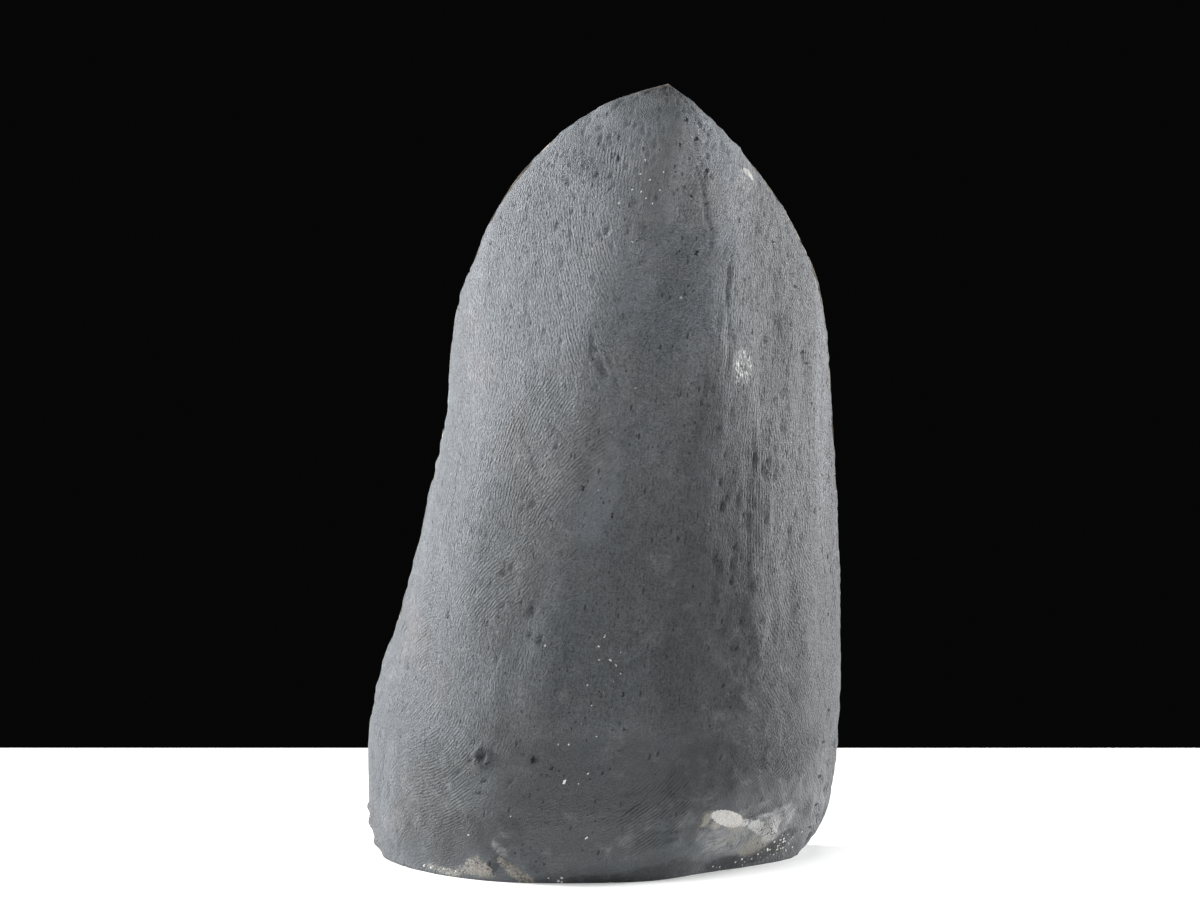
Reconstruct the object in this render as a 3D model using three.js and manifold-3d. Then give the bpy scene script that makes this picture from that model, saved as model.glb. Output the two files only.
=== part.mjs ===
// A standing half geode of amethyst, about 300 mm tall, sawn flat along its
// front and across its foot. A natural stone rind holds a hollow lined with
// crystals, and a brushed mortar coat covers the rind's rounded back.
// Millimetres, +Z up. The open crystal front faces -Y and the coated back +Y.

import * as THREE from "three";
import { mergeVertices } from "three/addons/utils/BufferGeometryUtils.js";
import Module from "manifold-3d";

const wasm = await Module();
wasm.setup();

// Driving dimensions

const HEIGHT = 300;
const AROUND = 28; // facets round the back, from rim to rim
const COURSES = 18; // rows of facets from foot to tip
const COURSE_CROWDING = 1.8; // above 1 the rows crowd towards the tip

const COAT_SIDE = 3.2; // mortar thickness at the widest part of the sides
const COAT_BACK = 5; // mortar thickness at the deepest part of the back
const COAT_TOP = 5; // mortar thickness above the rind's tip
const COAT_SETBACK = 1.4; // the mortar stops this far behind the sawn front
const FIT_GAP = 0.3; // clearance between neighbouring pieces
const LIP_DEPTH = COAT_SETBACK - FIT_GAP; // bare stone edge in front of the mortar

// Outline of the sawn front: half-widths to the left (+X) and right (-X)
// against height. Both meet in the tip, right of the middle.
const TIP_X = -26;
const LEFT_EDGE = [
  [0, 87], [7, 90], [22, 92], [42, 92], [60, 89], [90, 80], [130, 69.5], [175, 60.5],
  [208, 56.5], [240, 46.5], [262, 34], [278, 19], [291, 0], [296.5, -13], [HEIGHT, TIP_X],
];
const RIGHT_EDGE = [
  [0, -78.6], [4, -81.8], [9, -85.4], [22, -90.2], [45, -92.9], [75, -94.2], [110, -93.6],
  [160, -91.2], [195, -89], [220, -85.5], [243, -76], [262, -64], [280, -49], [293, -35.5],
  [HEIGHT, TIP_X],
];

// The back: how deep it bulges behind the sawn front, where the middle of its
// crown runs, half the crown's width, and where the shoulders meet the flanks.
const DEPTH = [
  [0, 87], [25, 94], [60, 98], [95, 99.5], [130, 100], [175, 94.5], [210, 81],
  [240, 62.5], [262, 45], [280, 28], [292, 16], [HEIGHT, 0],
];
const CROWN_X = [[0, 12], [90, -6], [170, -14], [240, -22], [HEIGHT, TIP_X]];
const CROWN_HALF = [[0, 28], [60, 30], [120, 25], [180, 20], [240, 16], [280, 8], [HEIGHT, 0]];
const LEFT_SHOULDER = [
  [0, 68], [40, 66], [80, 60], [110, 54], [140, 47.5], [180, 38], [215, 29.5], [250, 17],
  [278, 7], [HEIGHT, TIP_X],
];
const RIGHT_SHOULDER = [
  [0, -43], [14, -54], [40, -68], [80, -73], [140, -70.5], [200, -63.5], [235, -60], [262, -52],
  [285, -40.5], [HEIGHT, TIP_X],
];
const LEFT_SHOULDER_DEPTH = 0.72; // as shares of the full depth
const RIGHT_SHOULDER_DEPTH = 0.72;
const CROWN_EDGE_DEPTH = 0.965;
const FLANK_DEPTH = 0.34;
const FLANK_LEAN = 0.1; // how far the flanks lean in, towards the shoulders

// The hollow: the outline of its mouth in the sawn front, and its depth.
const MOUTH = [
  [-27, 267], [-3, 258], [21, 239], [37, 212], [42, 178], [50, 138], [62, 98], [71, 62],
  [60, 36], [28, 26], [-12, 29], [-48, 25], [-72, 42], [-77, 78], [-72, 118], [-76, 160],
  [-72, 204], [-60, 234], [-44, 256],
];
const HOLLOW_CENTRE = new THREE.Vector2(-8, 132);
const HOLLOW_DEPTH = 68;
const HOLLOW_FULLNESS = 2.5; // 2 is an ellipsoid, larger has steeper sides
const MOUTH_STEPS = 32;
const HOLLOW_RINGS = 7;
const CUTTER_REACH = 20; // cutting solids pass the sawn front by this much

// The crystals
const QUARTZ_BED = 6.5; // solid quartz that the points grow from
const CRYSTAL_SPACING = 22.5;
const CRYSTAL_RADIUS = [13.5, 16.5]; // across the corners, halved
const POINT_SLOPE = 1.27; // height of a point over the radius of its flats
const CRYSTAL_ROOT = 5; // depth of each shaft below the bed's surface
const CRYSTAL_RISE = [-6, 0]; // shoulder of each point above the bed
const CRYSTAL_LEAN = 0.15; // sideways lean, as a slope
const ROW_JITTER = 0.35; // uneven spacing along a row, as a share of it

const wander = seededRandom(4127);

// A repeatable stream of numbers between 0 and 1.
function seededRandom(seed) {
  let state = seed;
  return () => {
    state = (state * 1664525 + 1013904223) % 4294967296;
    return state / 4294967296;
  };
}

function between([low, high]) {
  return low + (high - low) * wander();
}

// A smooth curve through [height, value] points that never overshoots them.
function smoothThrough(points) {
  const slopes = points.slice(1).map(([h, v], i) => (v - points[i][1]) / (h - points[i][0]));
  const tangents = points.map((_, i) => {
    const before = slopes[i - 1] ?? slopes[i];
    const after = slopes[i] ?? slopes[i - 1];
    if (before * after <= 0) return 0;
    return (2 * before * after) / (before + after);
  });
  return (height) => {
    let i = points.findIndex(([h]) => h >= height) - 1;
    i = Math.min(Math.max(i, 0), points.length - 2);
    const span = points[i + 1][0] - points[i][0];
    const t = (height - points[i][0]) / span;
    const rise = (3 - 2 * t) * t * t;
    const start = t * (1 - t) * (1 - t) * span * tangents[i];
    const end = t * t * (t - 1) * span * tangents[i + 1];
    return points[i][1] * (1 - rise) + points[i + 1][1] * rise + start + end;
  };
}

const leftEdge = smoothThrough(LEFT_EDGE);
const rightEdge = smoothThrough(RIGHT_EDGE);
const depth = smoothThrough(DEPTH);
const crownX = smoothThrough(CROWN_X);
const crownHalf = smoothThrough(CROWN_HALF);
const leftShoulder = smoothThrough(LEFT_SHOULDER);
const rightShoulder = smoothThrough(RIGHT_SHOULDER);

// One level slice of the geode, from the left rim round the back to the right.
function slice(height) {
  const [left, right, deep] = [leftEdge(height), rightEdge(height), depth(height)];
  const [leftTurn, rightTurn] = [leftShoulder(height), rightShoulder(height)];
  const lean = (edge, turn) => edge + (turn - edge) * FLANK_LEAN;
  const knots = [
    [left, 0],
    [lean(left, leftTurn), deep * FLANK_DEPTH],
    [leftTurn, deep * LEFT_SHOULDER_DEPTH],
    [crownX(height) + crownHalf(height), deep * CROWN_EDGE_DEPTH],
    [crownX(height) - crownHalf(height), deep * CROWN_EDGE_DEPTH],
    [rightTurn, deep * RIGHT_SHOULDER_DEPTH],
    [lean(right, rightTurn), deep * FLANK_DEPTH],
    [right, 0],
  ];
  const curve = new THREE.CatmullRomCurve3(knots.map(([x, y]) => new THREE.Vector3(x, y, height)));
  return curve.getPoints(AROUND);
}

// A closed solid from point and triangle lists.
function toSolid(points, triangles) {
  const geometry = new THREE.BufferGeometry();
  const numbers = points.flatMap((p) => p.toArray());
  geometry.setAttribute("position", new THREE.Float32BufferAttribute(numbers, 3));
  geometry.setIndex(triangles);
  return geometryToSolid(geometry);
}

// A closed solid from a geometry, with its shared corners merged.
function geometryToSolid(geometry) {
  geometry.deleteAttribute("normal");
  geometry.deleteAttribute("uv");
  const merged = mergeVertices(geometry, 1e-4);
  return new wasm.Manifold(
    new wasm.Mesh({
      numProp: 3,
      vertProperties: Float32Array.from(merged.attributes.position.array),
      triVerts: Uint32Array.from(merged.index.array),
    }),
  );
}

// The whole geode's outside as one solid, shrunk towards the foot of the sawn
// front by the given thicknesses, so that every shell ends flush there.
function domeSolid(side, back, top) {
  const halfWidth = Math.max(...RIGHT_EDGE.map(([, x]) => -x));
  const fullDepth = Math.max(...DEPTH.map(([, deep]) => deep));
  const shrink = new THREE.Vector3(1 - side / halfWidth, 1 - back / fullDepth, 1 - top / HEIGHT);
  const points = [];
  for (let row = 0; row < COURSES; row += 1) {
    const height = HEIGHT * (1 - (1 - row / COURSES) ** COURSE_CROWDING);
    points.push(...slice(height));
  }
  const tip = points.push(new THREE.Vector3(TIP_X, 0, HEIGHT)) - 1;
  const foot = points.push(new THREE.Vector3(crownX(0), depth(0) / 2, 0)) - 1;
  points.forEach((p) => p.multiply(shrink));

  const ring = AROUND + 1;
  const triangles = [];
  for (let i = 0; i < ring; i += 1) {
    const next = (i + 1) % ring;
    triangles.push(foot, next, i);
    for (let row = 0; row < COURSES - 1; row += 1) {
      const [a, b] = [row * ring + i, row * ring + next];
      triangles.push(a, b, b + ring, a, b + ring, a + ring);
    }
    const last = (COURSES - 1) * ring;
    triangles.push(last + i, last + next, tip);
  }
  return toSolid(points, triangles);
}

// A box from y = low to y = high that covers the whole width and height.
function slab(low, high) {
  const box = new THREE.BoxGeometry(4 * HEIGHT, high - low, 4 * HEIGHT);
  box.translate(0, (low + high) / 2, 0);
  return geometryToSolid(box);
}

const mouthCurve = new THREE.CatmullRomCurve3(
  MOUTH.map(([x, z]) => new THREE.Vector3(x, 0, z)),
  true,
);

// A point on a wall of the hollow. The mouth is at ring 0 and the deepest
// point at ring 1, and inset is how far the wall is moved inwards.
function hollowPoint(turn, ring, inset) {
  const rim = mouthCurve.getPointAt(((turn % 1) + 1) % 1);
  const outward = new THREE.Vector2(rim.x, rim.z).sub(HOLLOW_CENTRE);
  const share = Math.cos((ring * Math.PI) / 2) ** (2 / HOLLOW_FULLNESS);
  const inward = Math.sin((ring * Math.PI) / 2) ** (2 / HOLLOW_FULLNESS);
  outward.setLength((outward.length() - inset) * share);
  return new THREE.Vector3(
    HOLLOW_CENTRE.x + outward.x,
    (HOLLOW_DEPTH - inset) * inward,
    HOLLOW_CENTRE.y + outward.y,
  );
}

// The hollow as a solid bowl with its wall moved inwards by inset. Reach
// carries its mouth straight out past the sawn front, to make a cutter.
function hollowSolid(inset, reach) {
  const points = [];
  for (let ring = 0; ring < HOLLOW_RINGS; ring += 1) {
    for (let step = 0; step < MOUTH_STEPS; step += 1) {
      points.push(hollowPoint(step / MOUTH_STEPS, ring / HOLLOW_RINGS, inset));
    }
  }
  const mouth = points.slice(0, MOUTH_STEPS).map((p) => p.clone().setY(-reach));
  const bottom = points.push(hollowPoint(0, 1, inset)) - 1;
  const middle = points.push(new THREE.Vector3(HOLLOW_CENTRE.x, -reach, HOLLOW_CENTRE.y)) - 1;
  if (reach > 0) points.push(...mouth);

  const triangles = [];
  for (let i = 0; i < MOUTH_STEPS; i += 1) {
    const next = (i + 1) % MOUTH_STEPS;
    for (let ring = 0; ring < HOLLOW_RINGS - 1; ring += 1) {
      const [a, b] = [ring * MOUTH_STEPS + i, ring * MOUTH_STEPS + next];
      triangles.push(a, b, b + MOUTH_STEPS, a, b + MOUTH_STEPS, a + MOUTH_STEPS);
    }
    const last = (HOLLOW_RINGS - 1) * MOUTH_STEPS;
    triangles.push(last + i, last + next, bottom);
    if (reach > 0) {
      const [a, b] = [middle + 1 + i, middle + 1 + next];
      triangles.push(a, b, next, a, next, i, middle, b, a);
    } else {
      triangles.push(middle, next, i);
    }
  }
  return toSolid(points, triangles);
}

// A six-sided crystal along +Z, with its point's shoulder at height zero.
function crystalGeometry(radius) {
  const flats = radius * Math.cos(Math.PI / 6);
  const profile = [
    new THREE.Vector2(0, -CRYSTAL_ROOT - CRYSTAL_RISE[1]),
    new THREE.Vector2(radius, -CRYSTAL_ROOT - CRYSTAL_RISE[1]),
    new THREE.Vector2(radius, 0),
    new THREE.Vector2(0, flats * POINT_SLOPE),
  ];
  const geometry = new THREE.LatheGeometry(profile, 6);
  geometry.rotateX(Math.PI / 2);
  return geometry;
}

// The direction square to the bed's surface, into the hollow.
function bedNormal(turn, ring) {
  const step = 0.005;
  const around = hollowPoint(turn + step, ring, QUARTZ_BED).sub(hollowPoint(turn - step, ring, QUARTZ_BED));
  const deeper = hollowPoint(turn, Math.min(1, ring + step), QUARTZ_BED);
  const shallower = hollowPoint(turn, ring - step, QUARTZ_BED);
  const normal = deeper.sub(shallower).cross(around).normalize();
  const mouthMiddle = new THREE.Vector3(HOLLOW_CENTRE.x, 0, HOLLOW_CENTRE.y);
  const towardsMouth = mouthMiddle.sub(hollowPoint(turn, ring, QUARTZ_BED));
  return normal.dot(towardsMouth) < 0 ? normal.negate() : normal;
}

// One crystal, standing on the bed and leaning a little off square.
function placedCrystal(turn, ring) {
  const wobble = new THREE.Vector3(wander() - 0.5, wander() - 0.5, wander() - 0.5);
  const axis = bedNormal(turn, ring).addScaledVector(wobble, 2 * CRYSTAL_LEAN).normalize();
  const seat = hollowPoint(turn, ring, QUARTZ_BED).addScaledVector(axis, between(CRYSTAL_RISE));
  const geometry = crystalGeometry(between(CRYSTAL_RADIUS));
  geometry.rotateZ(wander() * Math.PI);
  geometry.applyQuaternion(new THREE.Quaternion().setFromUnitVectors(new THREE.Vector3(0, 0, 1), axis));
  geometry.translate(seat.x, seat.y, seat.z);
  return geometryToSolid(geometry);
}

// The bed's outline at one depth, as a list of points.
function bedLoop(ring) {
  return Array.from({ length: MOUTH_STEPS }, (_, i) => hollowPoint(i / MOUTH_STEPS, ring, QUARTZ_BED));
}

// How many crystals fit round the bed at one depth.
function crystalsAround(ring) {
  const loop = bedLoop(ring);
  const girth = loop.reduce((sum, p, i) => sum + p.distanceTo(loop[(i + 1) % MOUTH_STEPS]), 0);
  return Math.max(1, Math.round(girth / CRYSTAL_SPACING));
}

// Depths at which rows of crystals stand, one spacing apart along the bed.
function crystalRows() {
  const samples = 200;
  const rows = [];
  let travelled = CRYSTAL_SPACING / 2;
  for (let sample = 1; sample <= samples; sample += 1) {
    const [before, here] = [(sample - 1) / samples, sample / samples];
    travelled += hollowPoint(0, here, QUARTZ_BED).distanceTo(hollowPoint(0, before, QUARTZ_BED));
    if (travelled < CRYSTAL_SPACING) continue;
    travelled = 0;
    rows.push(here);
  }
  return rows;
}

// All the crystals, joined, in staggered rows from the mouth to the bottom.
function allCrystals() {
  const crystals = [];
  for (const ring of crystalRows()) {
    const count = crystalsAround(ring);
    const stagger = wander();
    for (let i = 0; i < count; i += 1) {
      const turn = (i + stagger + ROW_JITTER * (wander() - 0.5)) / count;
      crystals.push(placedCrystal(turn, ring));
    }
  }
  return wasm.Manifold.union(crystals);
}

// The three pieces

function mortarCoat() {
  const behindRim = slab(COAT_SETBACK, 2 * HEIGHT);
  const outside = domeSolid(0, 0, 0);
  return outside.subtract(domeSolid(COAT_SIDE, COAT_BACK, COAT_TOP)).intersect(behindRim);
}

function stoneRind() {
  const body = domeSolid(COAT_SIDE + FIT_GAP, COAT_BACK + FIT_GAP, COAT_TOP + FIT_GAP);
  const lip = domeSolid(0, 0, 0).intersect(slab(-1, LIP_DEPTH));
  return body.add(lip).subtract(hollowSolid(0, CUTTER_REACH));
}

function crystalLining() {
  const bowl = hollowSolid(FIT_GAP, 0);
  const bed = bowl.subtract(hollowSolid(QUARTZ_BED, CUTTER_REACH));
  return bed.add(allCrystals().intersect(bowl));
}

function toMesh(name, solid, material) {
  const { vertProperties, triVerts } = solid.getMesh();
  const geometry = new THREE.BufferGeometry();
  geometry.setAttribute("position", new THREE.BufferAttribute(vertProperties, 3));
  geometry.setIndex(new THREE.BufferAttribute(triVerts, 1));
  geometry.computeVertexNormals();
  const mesh = new THREE.Mesh(geometry, material);
  mesh.name = name;
  return mesh;
}

const mortar = new THREE.MeshStandardMaterial({ color: 0x5f6266, roughness: 0.8, metalness: 0 });
const stone = new THREE.MeshStandardMaterial({ color: 0xb9aa97, roughness: 0.35, metalness: 0 });
const amethyst = new THREE.MeshStandardMaterial({ color: 0x6a3fa0, roughness: 0.1, metalness: 0 });

const geode = new THREE.Group();
geode.add(toMesh("painted_mortar_back", mortarCoat(), mortar));
geode.add(toMesh("stone_rind", stoneRind(), stone));
geode.add(toMesh("amethyst_crystals", crystalLining(), amethyst));

// The origin is the middle of the foot, on the surface that the geode stands on.
const bounds = new THREE.Box3().setFromObject(geode);
const centre = bounds.getCenter(new THREE.Vector3());
geode.position.set(-centre.x, -centre.y, -bounds.min.z);
geode.updateMatrixWorld(true);

export default geode;
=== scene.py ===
"""Looks of a standing half geode of amethyst: a brushed, painted mortar back, a sawn
and polished stone front, and a hollow lined with see-through purple crystals.
Metres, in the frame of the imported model: +Z up, crystal front to -Y, coated back to +Y."""
import math
from functools import reduce

import bmesh
import bpy
import numpy as np
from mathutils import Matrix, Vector


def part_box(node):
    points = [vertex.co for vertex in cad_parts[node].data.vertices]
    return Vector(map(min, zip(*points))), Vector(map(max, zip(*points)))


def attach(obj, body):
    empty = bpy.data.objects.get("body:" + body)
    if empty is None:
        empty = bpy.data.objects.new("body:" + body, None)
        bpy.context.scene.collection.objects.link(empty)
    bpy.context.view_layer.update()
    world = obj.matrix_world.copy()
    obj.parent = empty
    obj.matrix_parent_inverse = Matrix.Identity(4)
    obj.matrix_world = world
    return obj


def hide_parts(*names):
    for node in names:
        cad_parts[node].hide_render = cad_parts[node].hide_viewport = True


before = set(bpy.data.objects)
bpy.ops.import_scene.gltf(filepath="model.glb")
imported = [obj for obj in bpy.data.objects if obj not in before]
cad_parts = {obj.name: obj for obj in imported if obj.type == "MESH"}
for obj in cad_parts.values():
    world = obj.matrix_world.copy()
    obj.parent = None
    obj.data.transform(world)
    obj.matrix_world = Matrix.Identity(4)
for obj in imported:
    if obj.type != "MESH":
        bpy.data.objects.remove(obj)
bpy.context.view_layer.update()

MM = 0.001

# === Sizes from the frame ===
STONE_LOW, STONE_HIGH = (np.array(corner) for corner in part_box("stone_rind"))
COAT_LOW, COAT_HIGH = (np.array(corner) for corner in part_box("painted_mortar_back"))
FRONT = STONE_LOW[1]  # the sawn front
SETBACK = (COAT_LOW[1] - FRONT) / MM  # millimetres from the front to where the coat starts

# The outline and the back, in millimetres above the foot and from the sawn
# front, as the model's construction has them.
TIP_X = -26
HEIGHT = 300
LEFT_EDGE = [
    (0, 87), (7, 90), (22, 92), (42, 92), (60, 89), (90, 80), (130, 69.5), (175, 60.5),
    (208, 56.5), (240, 46.5), (262, 34), (278, 19), (291, 0), (296.5, -13), (HEIGHT, TIP_X),
]
RIGHT_EDGE = [
    (0, -78.6), (4, -81.8), (9, -85.4), (22, -90.2), (45, -92.9), (75, -94.2), (110, -93.6),
    (160, -91.2), (195, -89), (220, -85.5), (243, -76), (262, -64), (280, -49), (293, -35.5),
    (HEIGHT, TIP_X),
]
DEPTH = [
    (0, 87), (25, 94), (60, 98), (95, 99.5), (130, 100), (175, 94.5), (210, 81),
    (240, 62.5), (262, 45), (280, 28), (292, 16), (HEIGHT, 0),
]
CROWN_X = [(0, 12), (90, -6), (170, -14), (240, -22), (HEIGHT, TIP_X)]
CROWN_HALF = [(0, 28), (60, 30), (120, 25), (180, 20), (240, 16), (280, 8), (HEIGHT, 0)]
LEFT_SHOULDER = [
    (0, 68), (40, 66), (80, 60), (110, 54), (140, 47.5), (180, 38), (215, 29.5), (250, 17),
    (278, 7), (HEIGHT, TIP_X),
]
RIGHT_SHOULDER = [
    (0, -43), (14, -54), (40, -68), (80, -73), (140, -70.5), (200, -63.5), (235, -60), (262, -52),
    (285, -40.5), (HEIGHT, TIP_X),
]
SHOULDER_DEPTH = 0.72
CROWN_EDGE_DEPTH = 0.965
FLANK_DEPTH = 0.34
FLANK_LEAN = 0.1
SIDEWAYS = STONE_HIGH[0] / MM - max(x for _, x in LEFT_EDGE)  # outline to frame, along X


# === Shader building ===
def add_node(tree, kind, inputs=(), output=0, **settings):
    """Add a node with its settings and inputs, and give back one of its outputs."""
    made = tree.nodes.new("ShaderNode" + kind)
    for name, value in settings.items():
        setattr(made, name, value)
    for key, value in dict(inputs).items():
        feed(tree, made.inputs[key], value)
    return Value(tree, made.outputs[output])


def feed(tree, socket, value):
    """Link a value to an input, or set a constant on it."""
    if isinstance(value, Value):
        tree.links.new(value.socket, socket)
    elif socket.type == "RGBA":
        socket.default_value = (*value, 1)
    else:
        socket.default_value = value


class Value:
    """An output of a material's nodes. Arithmetic and calls on it add further nodes."""

    def __init__(self, tree, socket):
        self.tree, self.socket = tree, socket

    def math(self, operation, other=0.0):
        return add_node(self.tree, "Math", {0: self, 1: other}, operation=operation)

    def __add__(self, other):
        return self.math("ADD", other)

    def __sub__(self, other):
        return self.math("SUBTRACT", other)

    def __rsub__(self, other):
        return add_node(self.tree, "Math", {0: other, 1: self}, operation="SUBTRACT")

    def __mul__(self, other):
        return self.math("MULTIPLY", other)

    def __abs__(self):
        return self.math("ABSOLUTE")

    def most(self, other):
        return self.math("MAXIMUM", other)

    def centred(self, strength):
        """Noise moved from 0..1 to either side of zero."""
        return (self - 0.5) * strength

    def ramp(self, low, high, to_low=0.0, to_high=1.0):
        inputs = {"Value": self, "From Min": low, "From Max": high}
        inputs.update({"To Min": to_low, "To Max": to_high})
        return add_node(self.tree, "MapRange", inputs, interpolation_type="SMOOTHSTEP")

    def mix(self, first, second):
        """The first colour where this value is 0 and the second where it is 1."""
        inputs = {"Factor": self, 6: first, 7: second}
        return add_node(self.tree, "Mix", inputs, 2, data_type="RGBA")

    def tint(self, colour):
        """A colour multiplied by this value."""
        return add_node(self.tree, "VectorMath", {0: colour, 3: self}, operation="SCALE")

    def vector(self, operation, *others, output=0):
        inputs = dict(enumerate((self, *others)))
        return add_node(self.tree, "VectorMath", inputs, output, operation=operation)

    def scaled(self, *scale):
        return self.vector("MULTIPLY", scale)

    def turned(self, angle, axis):
        inputs = {"Vector": self, "Angle": angle}
        return add_node(self.tree, "VectorRotate", inputs, rotation_type=axis)

    def noise(self, scale=1.0, detail=2.0, roughness=0.5, output="Fac"):
        inputs = {"Vector": self, "Scale": scale, "Detail": detail, "Roughness": roughness}
        return add_node(self.tree, "TexNoise", inputs, output)

    def cells(self, scale=1.0):
        """Distance to the nearest scattered point, and that point's own random number."""
        distance = add_node(self.tree, "TexVoronoi", {"Vector": self, "Scale": scale}, "Distance")
        colour = Value(self.tree, distance.socket.node.outputs["Color"])
        return distance, add_node(self.tree, "SeparateColor", {0: colour})

    def bump(self):
        """Normals bent as if this value were a height in millimetres."""
        return add_node(self.tree, "Bump", {"Height": self, "Distance": MM, "Strength": 1.0})


class Shader:
    """One new material, and the values that its nodes start from."""

    def __init__(self, name):
        self.material = bpy.data.materials.new(name)
        self.material.use_nodes = True
        self.tree = self.material.node_tree

    def read(self, name, output="Fac"):
        """What the mesh stores under a name."""
        return add_node(self.tree, "Attribute", output=output, attribute_name=name)

    def millimetres(self):
        return add_node(self.tree, "TexCoord", output="Object").scaled(1 / MM, 1 / MM, 1 / MM)

    def finish(self, **values):
        surface = self.tree.nodes["Principled BSDF"]
        for name, value in values.items():
            feed(self.tree, surface.inputs[name.replace("_", " ")], value)
        return self.material


def add_object(name, data):
    """A new object in the scene."""
    made = bpy.data.objects.new(name, data)
    bpy.context.scene.collection.objects.link(made)
    return made


# === Camera, table and light ===
CAMERA_RISE = math.radians(4)
CAMERA_DISTANCE = 1.5
CAMERA_LENS = 118.2
CAMERA_SENSOR = 36
AIM_HEIGHT = 0.160
AIM_SIDE = 0.0017
TABLE_HALF_WIDTH = 1.6
TABLE_FAR = -0.312  # the table's far edge shows behind the geode
TABLE_NEAR = 2.6
TABLE_THICKNESS = 0.03
TABLE_GLOW = 0.15  # a lit white panel, so that no shadow greys it
ROOM_LIGHT = 0.002  # the room is all but black


def make_camera():
    """Level with the geode's back and a little above it, as the object was pictured."""
    camera = add_object("camera", bpy.data.cameras.new("camera"))
    back = Vector((0, math.cos(CAMERA_RISE), math.sin(CAMERA_RISE)))
    aim = Vector((AIM_SIDE, 0, AIM_HEIGHT))
    camera.location = aim + CAMERA_DISTANCE * back
    camera.rotation_euler = (-back).to_track_quat("-Z", "Y").to_euler()
    camera.data.lens = CAMERA_LENS
    camera.data.sensor_width = CAMERA_SENSOR
    bpy.context.scene.camera = camera


def make_table():
    """A plain white table top under the geode."""
    mesh = bpy.data.meshes.new("table")
    shape = bmesh.new()
    bmesh.ops.create_cube(shape, size=1)
    for vertex in shape.verts:
        vertex.co.x *= 2 * TABLE_HALF_WIDTH
        vertex.co.y = TABLE_FAR if vertex.co.y < 0 else TABLE_NEAR
        vertex.co.z = -TABLE_THICKNESS if vertex.co.z < 0 else 0
    shape.to_mesh(mesh)
    shape.free()
    white = Shader("table_white")
    white.finish(Base_Color=(0.9, 0.9, 0.9), Roughness=0.5)
    white.finish(Emission_Color=(1, 1, 1), Emission_Strength=TABLE_GLOW)
    mesh.materials.append(white.material)
    table = add_object("table", mesh)


LIT_PLACE = Vector((0, 0, 0.15))
LIGHTS = [  # soft boxes that face the lit place: name, place, width, height, watts
    ("left_soft_box", (1.0, -0.34, 0.45), 0.4, 0.7, 37),
    ("right_soft_box", (-1.0, -0.42, 0.38), 0.4, 0.6, 24),
    ("overhead", (0, 0.3, 1.3), 0.8, 0.4, 13),
]


def make_lights():
    for name, place, width, height, watts in LIGHTS:
        lamp = bpy.data.lights.new(name, "AREA")
        lamp.shape = "RECTANGLE"
        lamp.size = width
        lamp.size_y = height
        lamp.energy = watts
        light = add_object(name, lamp)
        light.location = place
        light.visible_camera = False
        aim = LIT_PLACE - Vector(place)
        light.rotation_euler = aim.to_track_quat("-Z", "Y").to_euler()


def make_world():
    world = bpy.data.worlds.new("dark_room")
    world.use_nodes = True
    background = world.node_tree.nodes["Background"]
    background.inputs["Color"].default_value = (1, 1, 1, 1)
    background.inputs["Strength"].default_value = ROOM_LIGHT
    bpy.context.scene.world = world
    bpy.context.scene.view_settings.view_transform = "Standard"


make_camera()
make_table()
make_lights()
make_world()


# === Curves and noise ===
def smooth_through(points, heights):
    """Read a smooth curve through (height, value) points that never overshoots them."""
    knots, values = np.array(points, float).T
    slope = np.diff(values) / np.diff(knots)
    before = np.r_[slope[0], slope]
    after = np.r_[slope, slope[-1]]
    same_way = before * after > 0
    total = np.where(same_way, before + after, 1.0)
    tangent = np.where(same_way, 2 * before * after / total, 0.0)
    i = np.clip(np.searchsorted(knots, heights) - 1, 0, len(knots) - 2)
    span = knots[i + 1] - knots[i]
    t = (heights - knots[i]) / span
    rise = (3 - 2 * t) * t * t
    start = t * (1 - t) ** 2 * span * tangent[i]
    end = t * t * (t - 1) * span * tangent[i + 1]
    return values[i] * (1 - rise) + values[i + 1] * rise + start + end


def section_knots(heights):
    """The turning points of each level slice, from the left rim to the right."""
    curves = LEFT_EDGE, LEFT_SHOULDER, CROWN_X, CROWN_HALF, RIGHT_SHOULDER, RIGHT_EDGE, DEPTH
    read = (smooth_through(curve, heights) for curve in curves)
    left, left_turn, crown, half, right_turn, right, deep = read
    knots = [
        (left, 0 * deep),
        (left + (left_turn - left) * FLANK_LEAN, deep * FLANK_DEPTH),
        (left_turn, deep * SHOULDER_DEPTH),
        (crown + half, deep * CROWN_EDGE_DEPTH),
        (crown - half, deep * CROWN_EDGE_DEPTH),
        (right_turn, deep * SHOULDER_DEPTH),
        (right + (right_turn - right) * FLANK_LEAN, deep * FLANK_DEPTH),
        (right, 0 * deep),
    ]
    return np.array([np.stack(knot, axis=1) for knot in knots])


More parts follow.
